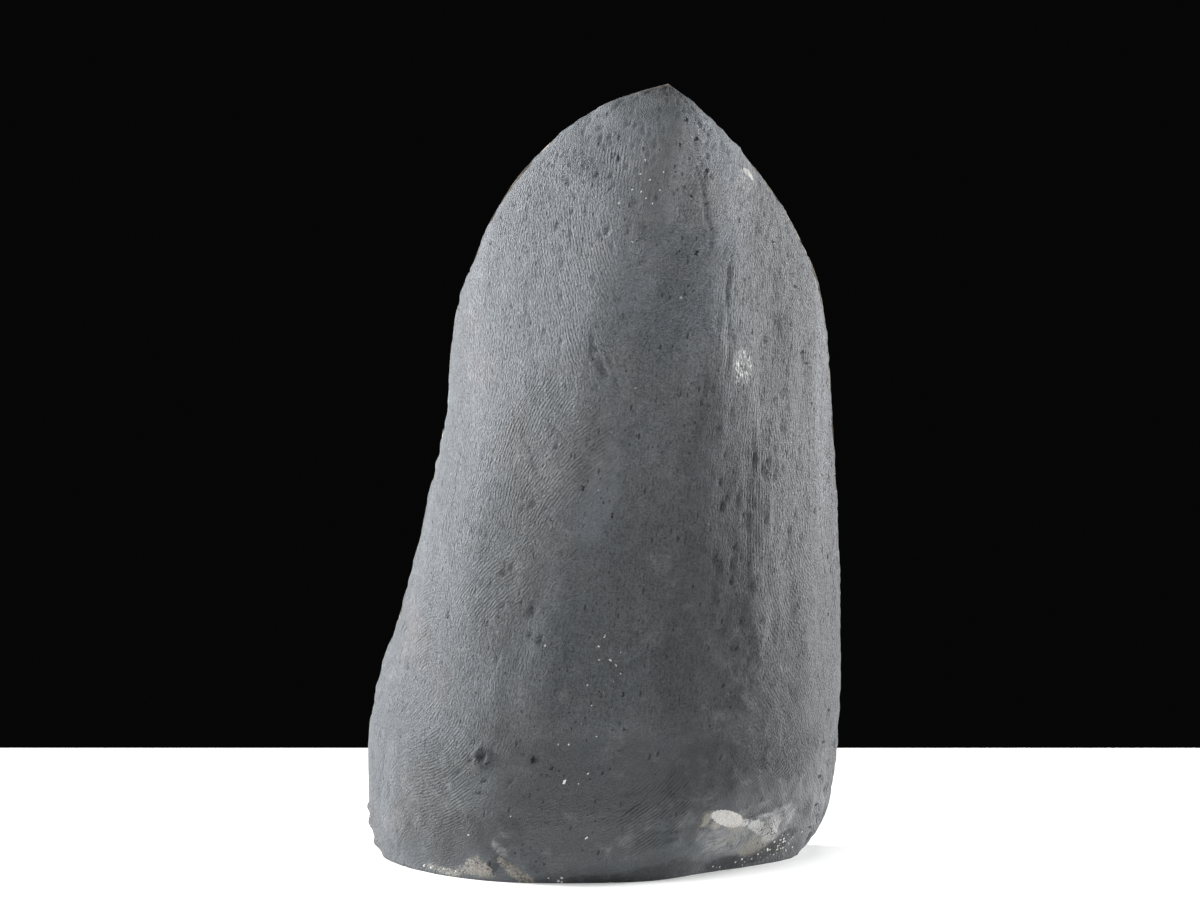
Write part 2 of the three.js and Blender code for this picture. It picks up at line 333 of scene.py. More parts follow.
def section_curves(heights, steps=36):
    """Level slices as smooth curves: (slice, point, x or depth), in millimetres."""
    knots = section_knots(heights)
    ends = 2 * knots[0] - knots[1], 2 * knots[-1] - knots[-2]
    knots = np.concatenate([ends[0][None], knots, ends[1][None]])
    gaps = np.sqrt(np.linalg.norm(np.diff(knots, axis=0), axis=2))[..., None]
    gaps = np.maximum(gaps, 1e-3)
    t = np.linspace(0, 1, steps, endpoint=False)[None, :, None]
    spans = []
    for i in range(len(knots) - 3):
        p0, p1, p2, p3 = (knots[i + k][:, None, :] for k in range(4))
        g0, g1, g2 = (gaps[i + k][:, None, :] for k in range(3))
        start = g1 * ((p1 - p0) / g0 - (p2 - p0) / (g0 + g1) + (p2 - p1) / g1)
        end = g1 * ((p2 - p1) / g1 - (p3 - p1) / (g1 + g2) + (p3 - p2) / g2)
        bend = -3 * p1 + 3 * p2 - 2 * start - end
        twist = 2 * p1 - 2 * p2 + start + end
        spans.append(p1 + t * (start + t * (bend + t * twist)))
    spans.append(knots[-2][:, None, :])
    return np.concatenate(spans, axis=1)


def lengths_along(path):
    """How far along a path of points each point lies."""
    return np.r_[0, np.cumsum(np.linalg.norm(np.diff(path, axis=0), axis=1))]


def points_along(path, marks):
    """The points of a flat path at the given distances along it."""
    along = lengths_along(path)
    return np.stack([np.interp(marks, along, path[:, k]) for k in range(2)], axis=1)


def hashed(cells, seed):
    """A repeatable number between -1 and 1 for every whole-numbered cell."""
    x, y, z = (cells[..., k].astype(np.uint64) for k in range(3))
    mixed = (x * 374761393 + y * 668265263 + z * 2246822519 + seed * 3266489917) & 0xFFFFFFFF
    mixed = ((mixed ^ (mixed >> 13)) * 1274126177) & 0xFFFFFFFF
    mixed = ((mixed ^ (mixed >> 16)) * 2654435761) & 0xFFFFFFFF
    return (mixed >> 8).astype(float) / 2**23 - 1


def noise(points, seed):
    """Smooth noise between -1 and 1, one lump per unit of the points' coordinates."""
    cells = np.floor(points).astype(np.int64)
    part = points - cells
    part = part**3 * (part * (part * 6 - 15) + 10)
    total = 0.0
    for corner in np.ndindex(2, 2, 2):
        weight = np.prod(np.where(np.array(corner), part, 1 - part), axis=-1)
        total = total + weight * hashed(cells + corner, seed)
    return total


def flat(a, b, scale_a, scale_b):
    """Two coordinates as points for noise, in lumps of the given sizes."""
    return np.stack([a / scale_a, b / scale_b, np.full(np.shape(a), 0.5)], axis=-1)


def bell(distance):
    """1 at no distance, falling smoothly to nothing past two."""
    return np.exp(-(distance**2))


def smooth_step(value, low, high):
    t = np.clip((value - low) / (high - low), 0, 1)
    return t * t * (3 - 2 * t)


# === The coat ===
COAT_ROWS = 337
COAT_COLUMNS = 281
COAT_INSET = 0.9  # the smooth dome is moved in by this, so that bumps stay inside it
TIP_ROUNDING = 0.7  # the grid stops where the dome is this much deeper than the setback
HIDDEN_STEP = 8  # the coat's hidden inner face is this many times coarser
COAT_SHRINK = (3.2, 5.0, 5.0)  # thickness at the sides, the back and the top


def crown_rows(top):
    """Heights evenly spaced along the line up the middle of the back, and how far up it they lie."""
    heights = np.linspace(0, top, 4000)
    path = np.hypot(np.gradient(heights), np.gradient(smooth_through(DEPTH, heights)))
    travelled = np.cumsum(path) - path[0]
    marks = np.linspace(0, travelled[-1], COAT_ROWS)
    return np.interp(marks, travelled, heights), marks


def even_columns(curve):
    """Evenly spaced points along one slice behind the setback, and their arc lengths."""
    arc = lengths_along(curve)
    behind = np.flatnonzero(curve[:, 1] >= SETBACK)
    ends = []
    for inside, outside in ((behind[0], behind[0] - 1), (behind[-1], behind[-1] + 1)):
        share = (SETBACK - curve[outside, 1]) / (curve[inside, 1] - curve[outside, 1])
        ends.append(arc[outside] + share * (arc[inside] - arc[outside]))
    marks = np.linspace(ends[0], ends[1], COAT_COLUMNS)
    return points_along(curve, marks), marks - np.interp(0.5, [0, 1], ends)


def back_grid():
    """A grid over the rounded back, in millimetres: points, arc across, path up."""
    tops = np.linspace(HEIGHT - 3, HEIGHT, 3001)  # the grid ends at one of these
    deep_enough = smooth_through(DEPTH, tops) * CROWN_EDGE_DEPTH > SETBACK + TIP_ROUNDING
    heights, marks = crown_rows(tops[deep_enough][-1])
    grid = np.zeros((COAT_ROWS, COAT_COLUMNS, 3))
    across = np.zeros((COAT_ROWS, COAT_COLUMNS))
    crown = smooth_through(CROWN_X, heights)
    for row, curve in enumerate(section_curves(heights)):
        points, arc = even_columns(curve)
        grid[row, :, :2] = points
        grid[row, :, 2] = heights[row]
        across[row] = arc - np.interp(-crown[row], -points[:, 0], arc)
    return grid, across, np.broadcast_to(marks[:, None], across.shape)


def outward(points):
    """Unit normals of a grid of points, facing away from the geode."""
    along = np.gradient(points, axis=1)
    upward = np.gradient(points, axis=0)
    normal = np.cross(along, upward)
    return normal / np.maximum(np.linalg.norm(normal, axis=-1, keepdims=True), 1e-9)


# How far the brush leans from upright, in degrees, positive to the geode's -X:
# x and height as seen from behind, lean, reach of that lean.
STROKE_LEANS = [
    (-8, 282, 0, 30), (22, 232, -3, 26), (4, 216, -20, 14), (0, 195, -36, 13), (13, 206, -24, 13),
    (41, 198, -5, 24), (26, 172, 22, 14), (30, 160, 25, 14), (17, 155, 42, 13), (8, 163, 52, 11),
    (52, 150, 14, 16), (31, 133, 35, 14), (43, 116, 38, 14), (17, 114, 52, 14), (57, 126, 3, 12),
    (66, 98, 10, 18), (-20, 204, 32, 13), (-20, 150, 12, 22), (-26, 116, 0, 26), (-37, 259, 5, 20),
    (-46, 241, 26, 11), (-58, 246, 24, 10), (-63, 218, 0, 20), (-79, 228, -10, 16), (-54, 193, -6, 20),
    (-75, 180, 0, 26), (-38, 162, 2, 20), (-75, 106, -4, 24), (-65, 71, -33, 14), (-59, 62, -56, 11),
    (-77, 66, -36, 12), (-56, 47, -44, 14), (46, 64, 12, 12), (62, 57, 40, 10), (66, 50, 62, 9),
    (62, 36, 80, 11), (54, 32, 60, 11), (78, 40, 30, 12), (0, 69, 0, 24), (0, 20, 62, 20),
]
LEAN_WANDER = math.radians(14)
LEAN_STEP = math.radians(20)
FIXED_LEANS = [LEAN_STEP * k for k in range(-4, 6)]  # noise is made at these leans, and blended


def stroke_lean(x, height):
    """Lean of the brush in radians, blended between the stated places."""
    total = weight = 0.0
    for place, level, lean, reach in STROKE_LEANS:
        near = bell(np.hypot(x - place, height - level) / reach) + 1e-6
        total = total + near * math.radians(lean)
        weight = weight + near
    return total / weight


def turned_to(across, up, lean):
    """Distances off and along a line that leans from upright."""
    off = across * math.cos(lean) - up * math.sin(lean)
    return off, across * math.sin(lean) + up * math.cos(lean)


def combed(back, width, length, seed):
    """Noise drawn out along the brushing, between -1 and 1."""
    total = 0.0
    for k, fixed in enumerate(FIXED_LEANS):
        off, run = turned_to(back.across, back.up, fixed)
        share = np.clip(1 - np.abs(back.lean - fixed) / LEAN_STEP, 0, 1)
        total = total + share * noise(flat(off, run, width, length), seed + k)
    return total


# Marks on the coat, by their place seen from behind: x and height in millimetres
# in the model's frame.
BUMPS = [  # x, height, reach across, reach up, height out of the surface
    (26, 48, 1.5, 1.3, -1.2), (19.5, 46.5, 1.1, 0.9, -0.5), (91, 13, 3.2, 3, 1.5), (92, 19, 2.4, 2, 1.2),
    (89, 6, 3, 2.4, 1.3), (87, 49, 1.2, 3.2, -0.7), (83, 30, 1.6, 3.4, -0.6), (79, 6, 1.1, 3.6, -0.5),
    (-88, 114, 1.4, 3.2, -0.9), (-77, 196, 1.1, 3.4, -0.6), (-79, 193, 1, 2.8, -0.6),
    (-60, 184, 1, 5, -0.4), (-50, 234, 1.2, 1.8, -0.6), (-42, 209, 0.9, 2.6, -0.5),
    (-77, 34, 1.8, 3, -0.7), (-79, 22, 2.2, 5, 0.7), (-81, 12, 1.6, 4, -0.6), (-10, 35, 5, 0.9, -0.35),
    (-85.5, 27, 2.4, 2.2, -1.4), (-84, 21, 2, 1.8, 0.9), (-83, 15, 2.4, 1.8, -1.3),
    (-80, 8, 2.4, 1.8, -1), (-87, 33, 2, 1.6, 0.8), (-86.5, 38, 2.4, 2, -1.1),
]
KNOB = (46.2, 47.2, 2.9)  # x, height, radius of a crusty ring
SCRATCHES = [  # from and to
    ((30, 217), (28, 207)), ((18, 226), (16, 218)), ((5.5, 199), (-1, 190.5)), ((67, 84), (69, 78)),
    ((7, 79), (-7, 82)), ((-10, 84), (-22, 87)), ((-13, 79), (-39, 63)), ((-46, 224), (-45.5, 216)),
    ((-59, 190), (-60, 178)), ((-66, 227), (-66, 219)), ((-1, 77), (-5.5, 77.2)), ((-8, 34.5), (-12.5, 36)),
    ((20, 172), (15, 166)), ((-54.3, 144), (-54, 110)), ((-65, 226), (-66, 206)),
    ((-46, 231), (-45.8, 194)), ((-60, 172), (-60.5, 150)), ((-42, 122), (-41.5, 106)),
    ((-36, 268), (-40, 244)), ((55, 160), (60, 128)), ((31, 170), (26, 156)), ((-57, 170), (-57, 152)),
    ((5, 206), (-1, 191)),
]
# Soft upright ridges and hollows: x, half-width, from height, to height, height out.
RIDGES = [
    (-44, 9, 150, 262, 1.3), (-65, 9, 150, 258, -1.3), (-62, 9, 40, 140, 0.8), (-44, 9, 40, 140, -0.5),
    (33, 8, 20, 110, -0.7), (52, 8, 20, 110, 0.5), (-65.5, 2.2, 182, 224, -0.4), (-61.5, 2, 140, 184, -0.7),
    (-55, 3.4, 160, 216, 0.6), (-72, 3.2, 150, 240, 0.6), (-77, 2.4, 176, 206, -0.8),
    (-50, 2.6, 214, 250, 0.5), (-59, 3, 226, 262, -0.6), (-69, 3, 90, 140, -0.6), (-76, 3.4, 60, 130, 0.6),
    (-83, 2.4, 70, 150, -0.5), (-58, 3, 60, 120, 0.4),
]
RIM_SWELL = 0.9  # the mortar laps out over the stone's edge
RIDGE_FADE = 0.35  # share of a ridge's height over which it fades at each end
GOUGES = 750
GOUGE_LENGTH = (1.6, 5.2)
GOUGE_WIDTH = 0.62
GOUGE_DEPTH = (0.25, 0.95)
GOUGE_STRAY = 0.2  # radians off the brushing
GOUGE_ROWS, GOUGE_COLUMNS = 7, 14  # grid rows and columns that one gouge can reach each way


class Back:
    """The grid over the back, with its places across and up."""

    def __init__(self):
        self.grid, self.across, self.up = back_grid()
        self.x = self.grid[..., 0] + SIDEWAYS
        self.height = self.grid[..., 2]
        wander = noise(flat(self.across, self.up, 13, 19), 30)
        self.lean = stroke_lean(self.x, self.height) + LEAN_WANDER * wander

    def find(self, x, height):
        """Row and column of the grid point seen at a place from behind."""
        row = int(np.argmin(np.abs(self.height[:, 0] - height)))
        return row, int(np.argmin(np.abs(self.x[row] - x)))

    def offsets(self, x, height):
        """Distance across and up the surface from a place, for every point."""
        row, column = self.find(x, height)
        return self.across - self.across[row, column], self.up - self.up[row, column]


def broad_shape(back):
    """Slow unevenness of the mortar, in millimetres outwards."""
    grid = back.grid
    side = smooth_step(np.abs(back.across), 15, 55)
    shape = 0.55 * noise(grid / 42, 21) + 0.4 * noise(grid / 17, 22)
    shape = shape + (0.08 + 0.16 * side) * noise(grid / 7, 23)
    rim = bell(grid[..., 1] / 7)
    shape = shape + rim * (RIM_SWELL + 0.9 * noise(grid / 4.2, 24) + 0.7 * noise(grid / 11, 25))
    for x, half_width, foot, top, rise in RIDGES:
        fade = RIDGE_FADE * (top - foot)
        upright = smooth_step(back.height, foot, foot + fade)
        upright = upright * (1 - smooth_step(back.height, top - fade, top))
        shape = shape + rise * bell((back.x - x) / half_width) * upright
    return shape


def knob(back):
    """The crusty ring."""
    x, height, radius = KNOB
    da, du = back.offsets(x, height)
    distance = np.hypot(da, du / 1.15)
    angle = np.arctan2(du, da)
    crust = 0.75 + 0.35 * np.sin(3 * angle + 1) + 0.25 * np.sin(7 * angle)
    return 1.2 * crust * bell((distance - radius) / 0.9) - 1.0 * bell(distance / (0.62 * radius))


def scratch(back, start, end):
    """A narrow groove between two places."""
    first, last = back.find(*start), back.find(*end)
    run = np.array([back.across[last] - back.across[first], back.up[last] - back.up[first]])
    da, du = back.across - back.across[first], back.up - back.up[first]
    share = np.clip((da * run[0] + du * run[1]) / (run @ run), 0, 1)
    wobble = 0.5 * np.sin(share * 9 + start[0])
    off = np.hypot(da - share * run[0] + wobble, du - share * run[1])
    return -0.45 * bell(off / 0.75)


def gouge_share(across, height):
    """How likely a gouge is to be kept at a place: most on the -X flank and the tip."""
    share = 0.22 + 0.78 * bell((across - 60) / 45) * smooth_step(height, 60, 150)
    share = np.maximum(share, 0.75 * bell((height - 262) / 32))
    share = np.maximum(share, 0.7 * bell((across + 62) / 22) * bell((height - 48) / 16))
    return np.maximum(share, 0.5 * bell((across + 55) / 30) * bell((height - 120) / 60))


def gouges(back):
    """Short dents dragged out along the brushing."""
    dice = np.random.default_rng(5)
    relief = np.zeros(back.across.shape)
    made = 0
    while made < GOUGES:
        row = dice.integers(0, relief.shape[0])
        column = dice.integers(0, relief.shape[1])
        across, height = back.across[row, column], back.height[row, column]
        if dice.random() > gouge_share(across, height):
            continue
        lean = back.lean[row, column] + dice.normal(0, GOUGE_STRAY)
        length = dice.uniform(*GOUGE_LENGTH)
        depth = dice.uniform(*GOUGE_DEPTH)
        reach = ((row, GOUGE_ROWS), (column, GOUGE_COLUMNS))
        window = tuple(slice(max(at - step, 0), at + step + 1) for at, step in reach)
        da, du = back.across[window] - across, back.up[window] - back.up[row, column]
        off, run = turned_to(da, du, lean)
        dent = depth * bell(off / GOUGE_WIDTH) * bell(2 * run / length)
        relief[window] = np.minimum(relief[window], -dent)
        made += 1
    return relief


# Fans of fine lines left by the bristles, in layers so that fans of one layer stay
# apart: x and height of the middle, lean, radius of the arcs (positive with their
# centre on the geode's -X side), half-length, half-width, strength.
FANS = {
    "first_fans": [
        (16, 156, 42, 75, 17, 13, 1), (5.5, 199, -33, 40, 15, 9, 0.7), (-36, 259, 15, 40, 14, 7, 0.9),
        (-76, 117, -45, 24, 9, 9, 0.9), (62, 39, 62, -32, 13, 15, 0.8), (-57, 162, 0, 400, 34, 5, 0.8),
        (-4, 266, 2, 300, 14, 8, 0.5), (-63, 217, -3, 400, 18, 4, 0.7), (70, 200, 4, 300, 26, 8, 0.35),
    ],
    "second_fans": [
        (30, 166, 20, 90, 20, 13, 0.8), (13, 236, -17, 130, 24, 14, 0.6), (-55, 244, 35, 25, 6, 7, 0.9),
        (-62, 72, -42, 70, 17, 15, 0.4), (46, 110, 45, 60, 11, 10, 0.8), (-46, 203, 0, 400, 26, 5, 0.7),
        (75, 150, 2, 300, 30, 8, 0.35), (74, 80, 24, 90, 16, 10, 0.4),
    ],
    "third_fans": [
        (-44, 241, 35, 30, 6, 7, 0.9), (-62, 101, -30, 55, 13, 9, 0.8), (-53, 212, 30, 40, 8, 8, 0.6),
        (54, 142, 10, 150, 20, 7, 0.7), (-70, 157, -20, 90, 18, 8, 0.6), (-36, 178, 0, 400, 16, 4, 0.5),
        (34, 258, 14, 120, 20, 14, 0.5), (20, 90, 20, 90, 18, 12, 0.3),
    ],
}


def fan_values(back, fans):
    """Distance from the middle of its nearest fan's arcs at every point, and the fan's strength."""
    radius, strength = np.zeros(back.across.shape), np.zeros(back.across.shape)
    nearest = np.full(back.across.shape, -np.inf)
    for x, height, lean, bend, half_length, half_width, depth in fans:
        da, du = back.offsets(x, height)
        off, run = turned_to(da, du, math.radians(lean))
        arc = np.hypot(off - bend, run)
        score = 1.5 - 0.5 * ((run / half_length) ** 2 + ((arc - abs(bend)) / half_width) ** 2)
        closer = score > nearest
        nearest = np.maximum(nearest, score)
        radius = np.where(closer, arc, radius)
        strength = np.where(closer, depth * np.clip(score, 0, 1), strength)
    return radius, strength


def coat_relief(back):
    """Everything that stands out of or sinks into the smooth dome, in millimetres."""
    side = smooth_step(back.across, 15, 55)
    brushing = (0.08 + 0.24 * side) * combed(back, 1.7, 6, 40)
    brushing = brushing + (0.08 + 0.34 * side) * combed(back, 3.6, 20, 60)
    brushing = brushing + 0.3 * side * noise(flat(back.across, back.up, 2.6, 4.2), 77)
    calm = patch_values(back, PATCHES["smooth"])
    brushing = brushing * (1 - 0.6 * np.clip(calm, 0, 1))
    relief = broad_shape(back) + brushing + gouges(back) + knob(back)
    for x, height, reach, rise, depth in BUMPS:
        da, du = back.offsets(x, height)
        relief = relief + depth * bell(np.hypot(da / reach, du / rise))
    for start, end in SCRATCHES:
        relief = relief + scratch(back, start, end)
    return relief


# Patches of colour: x, height, half-width, half-height, tilt in degrees (positive
# falls towards the geode's -X), strength.
PATCHES = {
    "bare": [(-47.3, 21.7, 8, 2.7, 20, 1.2), (-56.3, 265.5, 3.4, 1.1, 45, 1.5)],  # no paint left
    "scuffed": [  # paint rubbed through to pale plaster
        (-59.6, 16.4, 5.4, 1.8, 26, 1.15), (-54.4, 19.2, 1.6, 1.1, 20, 0.9),
        (-61, 20.6, 3.2, 0.9, -6, 0.62), (-63.5, 12.6, 2.6, 1.4, 30, 0.6), (-64, 15.4, 3, 4.6, 10, 0.9),
    ],
    "cream": [  # lime run out from under the plaster
        (-38.8, 23, 1.6, 2.6, 12, 1), (-50, 18.4, 4.6, 1.5, 22, 0.95), (-42, 19.6, 2.4, 1.4, 20, 0.8),
        (-46, 12, 6, 2, -16, 0.5), (-58, 8.8, 5.5, 3, -18, 0.95), (-52, 12, 5, 1.6, -20, 0.45),
        (48, 3, 6, 1.6, 8, 0.8), (34, 2.6, 4, 1, 36, 0.8), (62, 1.6, 8, 1.2, 6, 0.7),
    ],
    "smeared": [  # plaster dust wiped over the paint
        (-65, 16, 8, 5, -26, 1.4), (-70, 20, 3, 3, -35, 0.4), (-58, 24.5, 7, 1.6, -12, 0.4),
        (-46, 15, 7, 5, -18, 1.15), (-45, 11, 6, 3, -12, 0.6), (-55, 12, 10, 5, -16, 0.95),
        (-38, 17, 3, 4, 0, 0.5), (39.5, 12.5, 3.4, 1.1, 38, 0.9), (80, 14, 4, 7, 0, 0.35),
        (-20, 20, 14, 8, -30, 0.25),
    ],
    "tan": [  # brown mortar showing
        (49.5, 6, 3.4, 3, 5, 0.8), (46.5, 3.6, 3.6, 2.2, 30, 0.8), (56, 2.6, 4, 1.4, 0, 0.6),
        (33, 3.4, 8, 1.6, 34, 0.9), (37, 6.4, 3.6, 1.2, 40, 0.7), (-36.8, 22.5, 1.2, 3.6, 10, 0.7),
    ],
    "rub": [(-51.6, 192.5, 3.4, 4.8, -12, 1), (-54, 263, 3, 5, 20, 0.3)],
    "dark": [  # dark marks by the worn places, and painted shade along the foot and at the tip
        (9, 1.2, 4.5, 1.6, 0, 0.7), (-3, 1.4, 8, 1.8, 0, 0.7), (-54, 3.5, 14, 2.6, -6, 0.9),
        (-28, 4, 6, 4, 0, 0.6), (-24, 2.4, 14, 2.6, 0, 0.7), (27, 9, 6, 3, 30, 0.5),
        (-26, 297, 9, 5, 0, 0.6), (-38, 22, 1.6, 3, 0, 0.8), (-68, 8.6, 7, 3.2, -26, 0.8),
        (-83.5, 30, 2.4, 4, 0, 0.5), (-60, 13, 1.6, 1, 0, 0.8), (42, 6, 2, 4, 30, 0.9),
        (60, 10, 3, 5, 0, 0.5), (-80, 8, 1.6, 2, 0, 1),
    ],
    "deep": [  # painted shade: paint darkened where the back turns away from the lamps, in the middle, at the crown and at the foot
        (-2, 60, 22, 50, 0, 0.5), (-36, 80, 15, 56, 0, 1), (-42, 150, 11, 30, 0, 0.75),
        (48, 36, 10, 22, 0, 0.9), (38, 121, 12, 28, 0, 1), (54, 78, 8, 16, 0, 0.45),
        (5, 25, 60, 12, 0, 1), (56, 17, 11, 8, 0, 1.55), (40, 18, 9, 8, 0, 1.3),
        (-66, 60, 10, 34, 0, 0.75), (-20, 118, 16, 22, 0, 0.6), (-12, 298, 20, 18, 0, 1.5),
        (-2, 284, 14, 20, 0, 0.7), (60, 10, 9, 6, 0, 1.5), (66, 15, 14, 12, 0, 1),
        (-52, 142, 9, 22, 0, 0.9), (-66, 196, 7, 14, 0, 0.45), (-21, 270, 6, 26, 4, 0.9),
        (-52, 40, 11, 9, 0, 1), (52, 8, 14, 7, 0, 0.8), (30, 165, 7, 22, 14, 0.65),
        (-8, 41, 64, 13, 0, 1.15), (-38, 41, 14, 12, 0, 1.5),
    ],
    "pale": [  # painted highlights: paint lightened on lit flanks, rims and the tip
        (-52, 262, 8, 26, 14, 0.75), (-36, 266, 9, 24, 8, 0.75), (-85, 184, 7, 46, 0, 0.75),
        (40, 44, 6, 7, 0, 0.5), (-37, 222, 4, 40, 0, 0.55), (50, 215, 6, 46, -10, 0.4),
        (72, 108, 6, 28, -12, 0.4),
    ],
    "smooth": [  # little brushing to be seen
        (0, 8, 60, 14, 0, 0.9), (-55, 26, 20, 10, -20, 0.9), (0, 34, 40, 22, 0, 0.7),
        (2, 148, 5, 16, 10, 0.7), (-5, 185, 4, 20, 0, 0.5), (-2, 250, 6, 20, 0, 0.4),
        (-12, 292, 17, 26, 0, 1.2), (-21, 266, 8, 22, 4, 0.9), (-10, 240, 10, 26, 0, 0.5),
        (70, 170, 6, 40, -8, 0.6), (84, 30, 4, 16, 0, 0.5), (-80, 24, 12, 16, 0, 0.9),
    ],
    "cracked": [(-62.5, 14.2, 4.6, 1.8, 24, 1), (-55.6, 20.6, 1.8, 1.8, 0, 1)],
    "grit": [  # white grains stuck to the foot
        (-68, 8, 7, 3.6, -24, 0.85), (-58, 3.6, 9, 1.8, -10, 0.7), (78, 11, 2, 3, 0, 0.35),
        (68, 1.5, 16, 1.2, 0, 0.75), (17, 0.9, 4.5, 1, 0, 1.1), (-8, 0.5, 24, 0.8, 0, 0.66),
        (-46, 0.7, 20, 1, 0, 0.72), (-54, 20, 8, 3, 24, 0.4), (46, 4, 7, 3, 0, 0.45),
    ],
}


def patch_values(back, patches):
    """Strength of one kind of patch at every point: 1 inside and fading out past its edge."""
    values = np.zeros(back.across.shape)
    for x, height, half_width, half_height, tilt, strength in patches:
        da, du = back.offsets(x, height)
        along, aside = turned_to(da, du, math.radians(tilt))
        distance = np.hypot(along / half_width, aside / half_height)
        values = np.maximum(values, strength * np.clip(1.5 - 0.5 * distance**2, 0, 1))
    return values


def shell_scale(side, back, top):
    """How the dome is scaled about the foot of its sawn front to make an inner shell."""
    half_width = max(-x for _, x in RIGHT_EDGE)
    full_depth = max(deep for _, deep in DEPTH)
    return np.array([1 - side / half_width, 1 - back / full_depth, 1 - top / HEIGHT])


def to_frame(points):
    """Outline millimetres to metres in the model's frame."""
    return (points + (SIDEWAYS, 0, 0)) * MM + (0, FRONT, 0)


def numbered(rows, columns, start=0):
    """Numbers for the points of a grid, row by row."""
    return start + np.arange(rows * columns).reshape(rows, columns)


def grid_faces(index, flip=False):
    """Quads of a grid whose points have the given numbers."""
    quads = [index[:-1, :-1], index[:-1, 1:], index[1:, 1:], index[1:, :-1]]
    return np.stack(quads[::-1] if flip else quads, axis=-1).reshape(-1, 4).tolist()


def border(index):
    """The numbers of a grid's border points, once round and back to the first."""
    sides = [index[0, :-1], index[:-1, -1], index[-1, :0:-1], index[:0:-1, 0], index[0, :1]]
    return np.concatenate(sides).tolist()


def joining_faces(fine, coarse):
    """Triangles between a fine border and one that is HIDDEN_STEP times coarser."""
    faces, half = [], HIDDEN_STEP // 2
    for i, (here, following) in enumerate(zip(coarse, coarse[1:])):
        start = i * HIDDEN_STEP
        for k in range(HIDDEN_STEP):
            corner = here if k < half else following
            faces.append((fine[start + k + 1], fine[start + k], corner))
        faces.append((fine[start + half], here, following))
    return faces


def add_values(mesh, name, values, hidden):
    """Store a number, or three, on each outer point; hidden points get zeros."""
    kind, field, width = "FLOAT", "value", 1
    if values.ndim == 3:
        kind, field, width = "FLOAT_VECTOR", "vector", values.shape[2]
    rows = np.concatenate([values.reshape(-1, width), np.zeros((hidden, width))])
    stored = mesh.attributes.new(name, kind, "POINT")
    stored.data.foreach_set(field, rows.astype(np.float32).ravel())


def coat_mesh(back, relief):
    """The closed coat: its relief outside, a coarse hidden face inside."""
    normal = outward(back.grid)
    normal[0, :, 2] = 0
    outer = back.grid + normal * (relief - COAT_INSET)[..., None]
    outer[..., 1] = np.maximum(outer[..., 1], SETBACK)
    inner = back.grid[::HIDDEN_STEP, ::HIDDEN_STEP] * shell_scale(*COAT_SHRINK)
    inner[..., 1] = np.maximum(inner[..., 1], SETBACK)
    points = to_frame(np.concatenate([outer.reshape(-1, 3), inner.reshape(-1, 3)]))
    points = np.clip(points, COAT_LOW, COAT_HIGH)
    outside = numbered(COAT_ROWS, COAT_COLUMNS)
    inside = numbered(*inner.shape[:2], outside.size)
    faces = grid_faces(outside) + grid_faces(inside, flip=True)
    faces += joining_faces(border(outside), border(inside))
    mesh = bpy.data.meshes.new("coat")
    mesh.from_pydata(points.tolist(), [], faces)
    mesh.shade_smooth()
    return mesh, inside.size


def make_coat(back):
    mesh, hidden = coat_mesh(back, coat_relief(back))
    add_values(mesh, "unrolled", np.stack([back.across, back.up, 0 * back.up], axis=-1), hidden)
    add_values(mesh, "lean", back.lean, hidden)
    add_values(mesh, "pitted", gouge_share(back.across, back.height), hidden)
    for name, patches in PATCHES.items():
        add_values(mesh, name, patch_values(back, patches), hidden)
    for name, fans in FANS.items():
        radius, strength = fan_values(back, fans)
        add_values(mesh, name, strength, hidden)
        add_values(mesh, name + "_radius", radius, hidden)
    return add_object("brushed_coat", mesh)


PAINT = (0.132, 0.145, 0.158)
PAINT_WARM = (0.141, 0.144, 0.153)
PAINT_DUST = (0.34, 0.345, 0.35)
PLASTER = (0.56, 0.54, 0.52)
PLASTER_GREY = (0.47, 0.47, 0.465)
PLASTER_WHITE = (0.8, 0.79, 0.77)  # white grains and flecks too
LIME_CREAM = (0.32, 0.305, 0.265)
MORTAR_BROWN = (0.15, 0.135, 0.115)
MORTAR_PALE = (0.29, 0.272, 0.245)
# How much of the paint each hides where it is thickest
SMEAR_COVER = 0.78
MORTAR_COVER = 0.9
LIME_COVER = 0.85
RUB_COVER = 0.5
FLECK_COVER = 0.85
# What is left of the light in a dent
PIT_SHADE = 0.32
HOLE_SHADE = 0.06
# Heights and depths of the finest relief, in millimetres
STREAK_HEIGHT = 0.4
HAIR_HEIGHT = 0.75
GRAIN_HEIGHT = 0.5
CRUMB_HEIGHT = 0.75
BRISTLE_HEIGHT = 0.75
PIT_DEPTH = 0.5
HOLE_DEPTH = 0.6
SMEAR_TURN = math.radians(-28)
BRISTLE_SPACING = 1.35
PITS = [(1.1, 1.7, 0.984), (1.4, 4.2, 0.98)]  # width and length of a pit's cell, rarity

SPECKS = {  # single white grains: for each radius, x and height
    0.64: [(15, 40)],
    0.56: [(-29, 219)],
    0.44: [(0, 94), (7, 18.5), (-15.7, 270.5), (-10.2, 259.4), (-13.9, 258.6), (-5.2, 254.1),
        (-70, 8.4)],
    0.4: [(-2, 85), (-17.9, 254.1)],
    0.36: [(6.5, 43), (2.7, 90), (-4, 83.5), (-20.9, 259), (-68, 9.2)],
    0.32: [(2, 85.5), (10, 39), (35, 26), (52, 17.5), (-5.5, 88), (22.5, 90), (6.5, 77), (13, 54),
        (3, 56.5), (-24.6, 260.2), (-11, 186), (-68.5, 11.6), (-71.5, 7.2), (-73, 4.6),
        (-70.5, 3.8)],
    0.3: [(-13.6, 265.4)],
    0.28: [(18, 54), (-16, 256.4), (-3, 78), (1, 74), (4, 69), (-2, 170), (3, 148), (10, 174),
        (-22.3, 266), (-17, 263.2), (-10, 240), (-72.6, 8.3), (-76.5, 11)],
    0.24: [(-6, 81), (9, 62)],
}
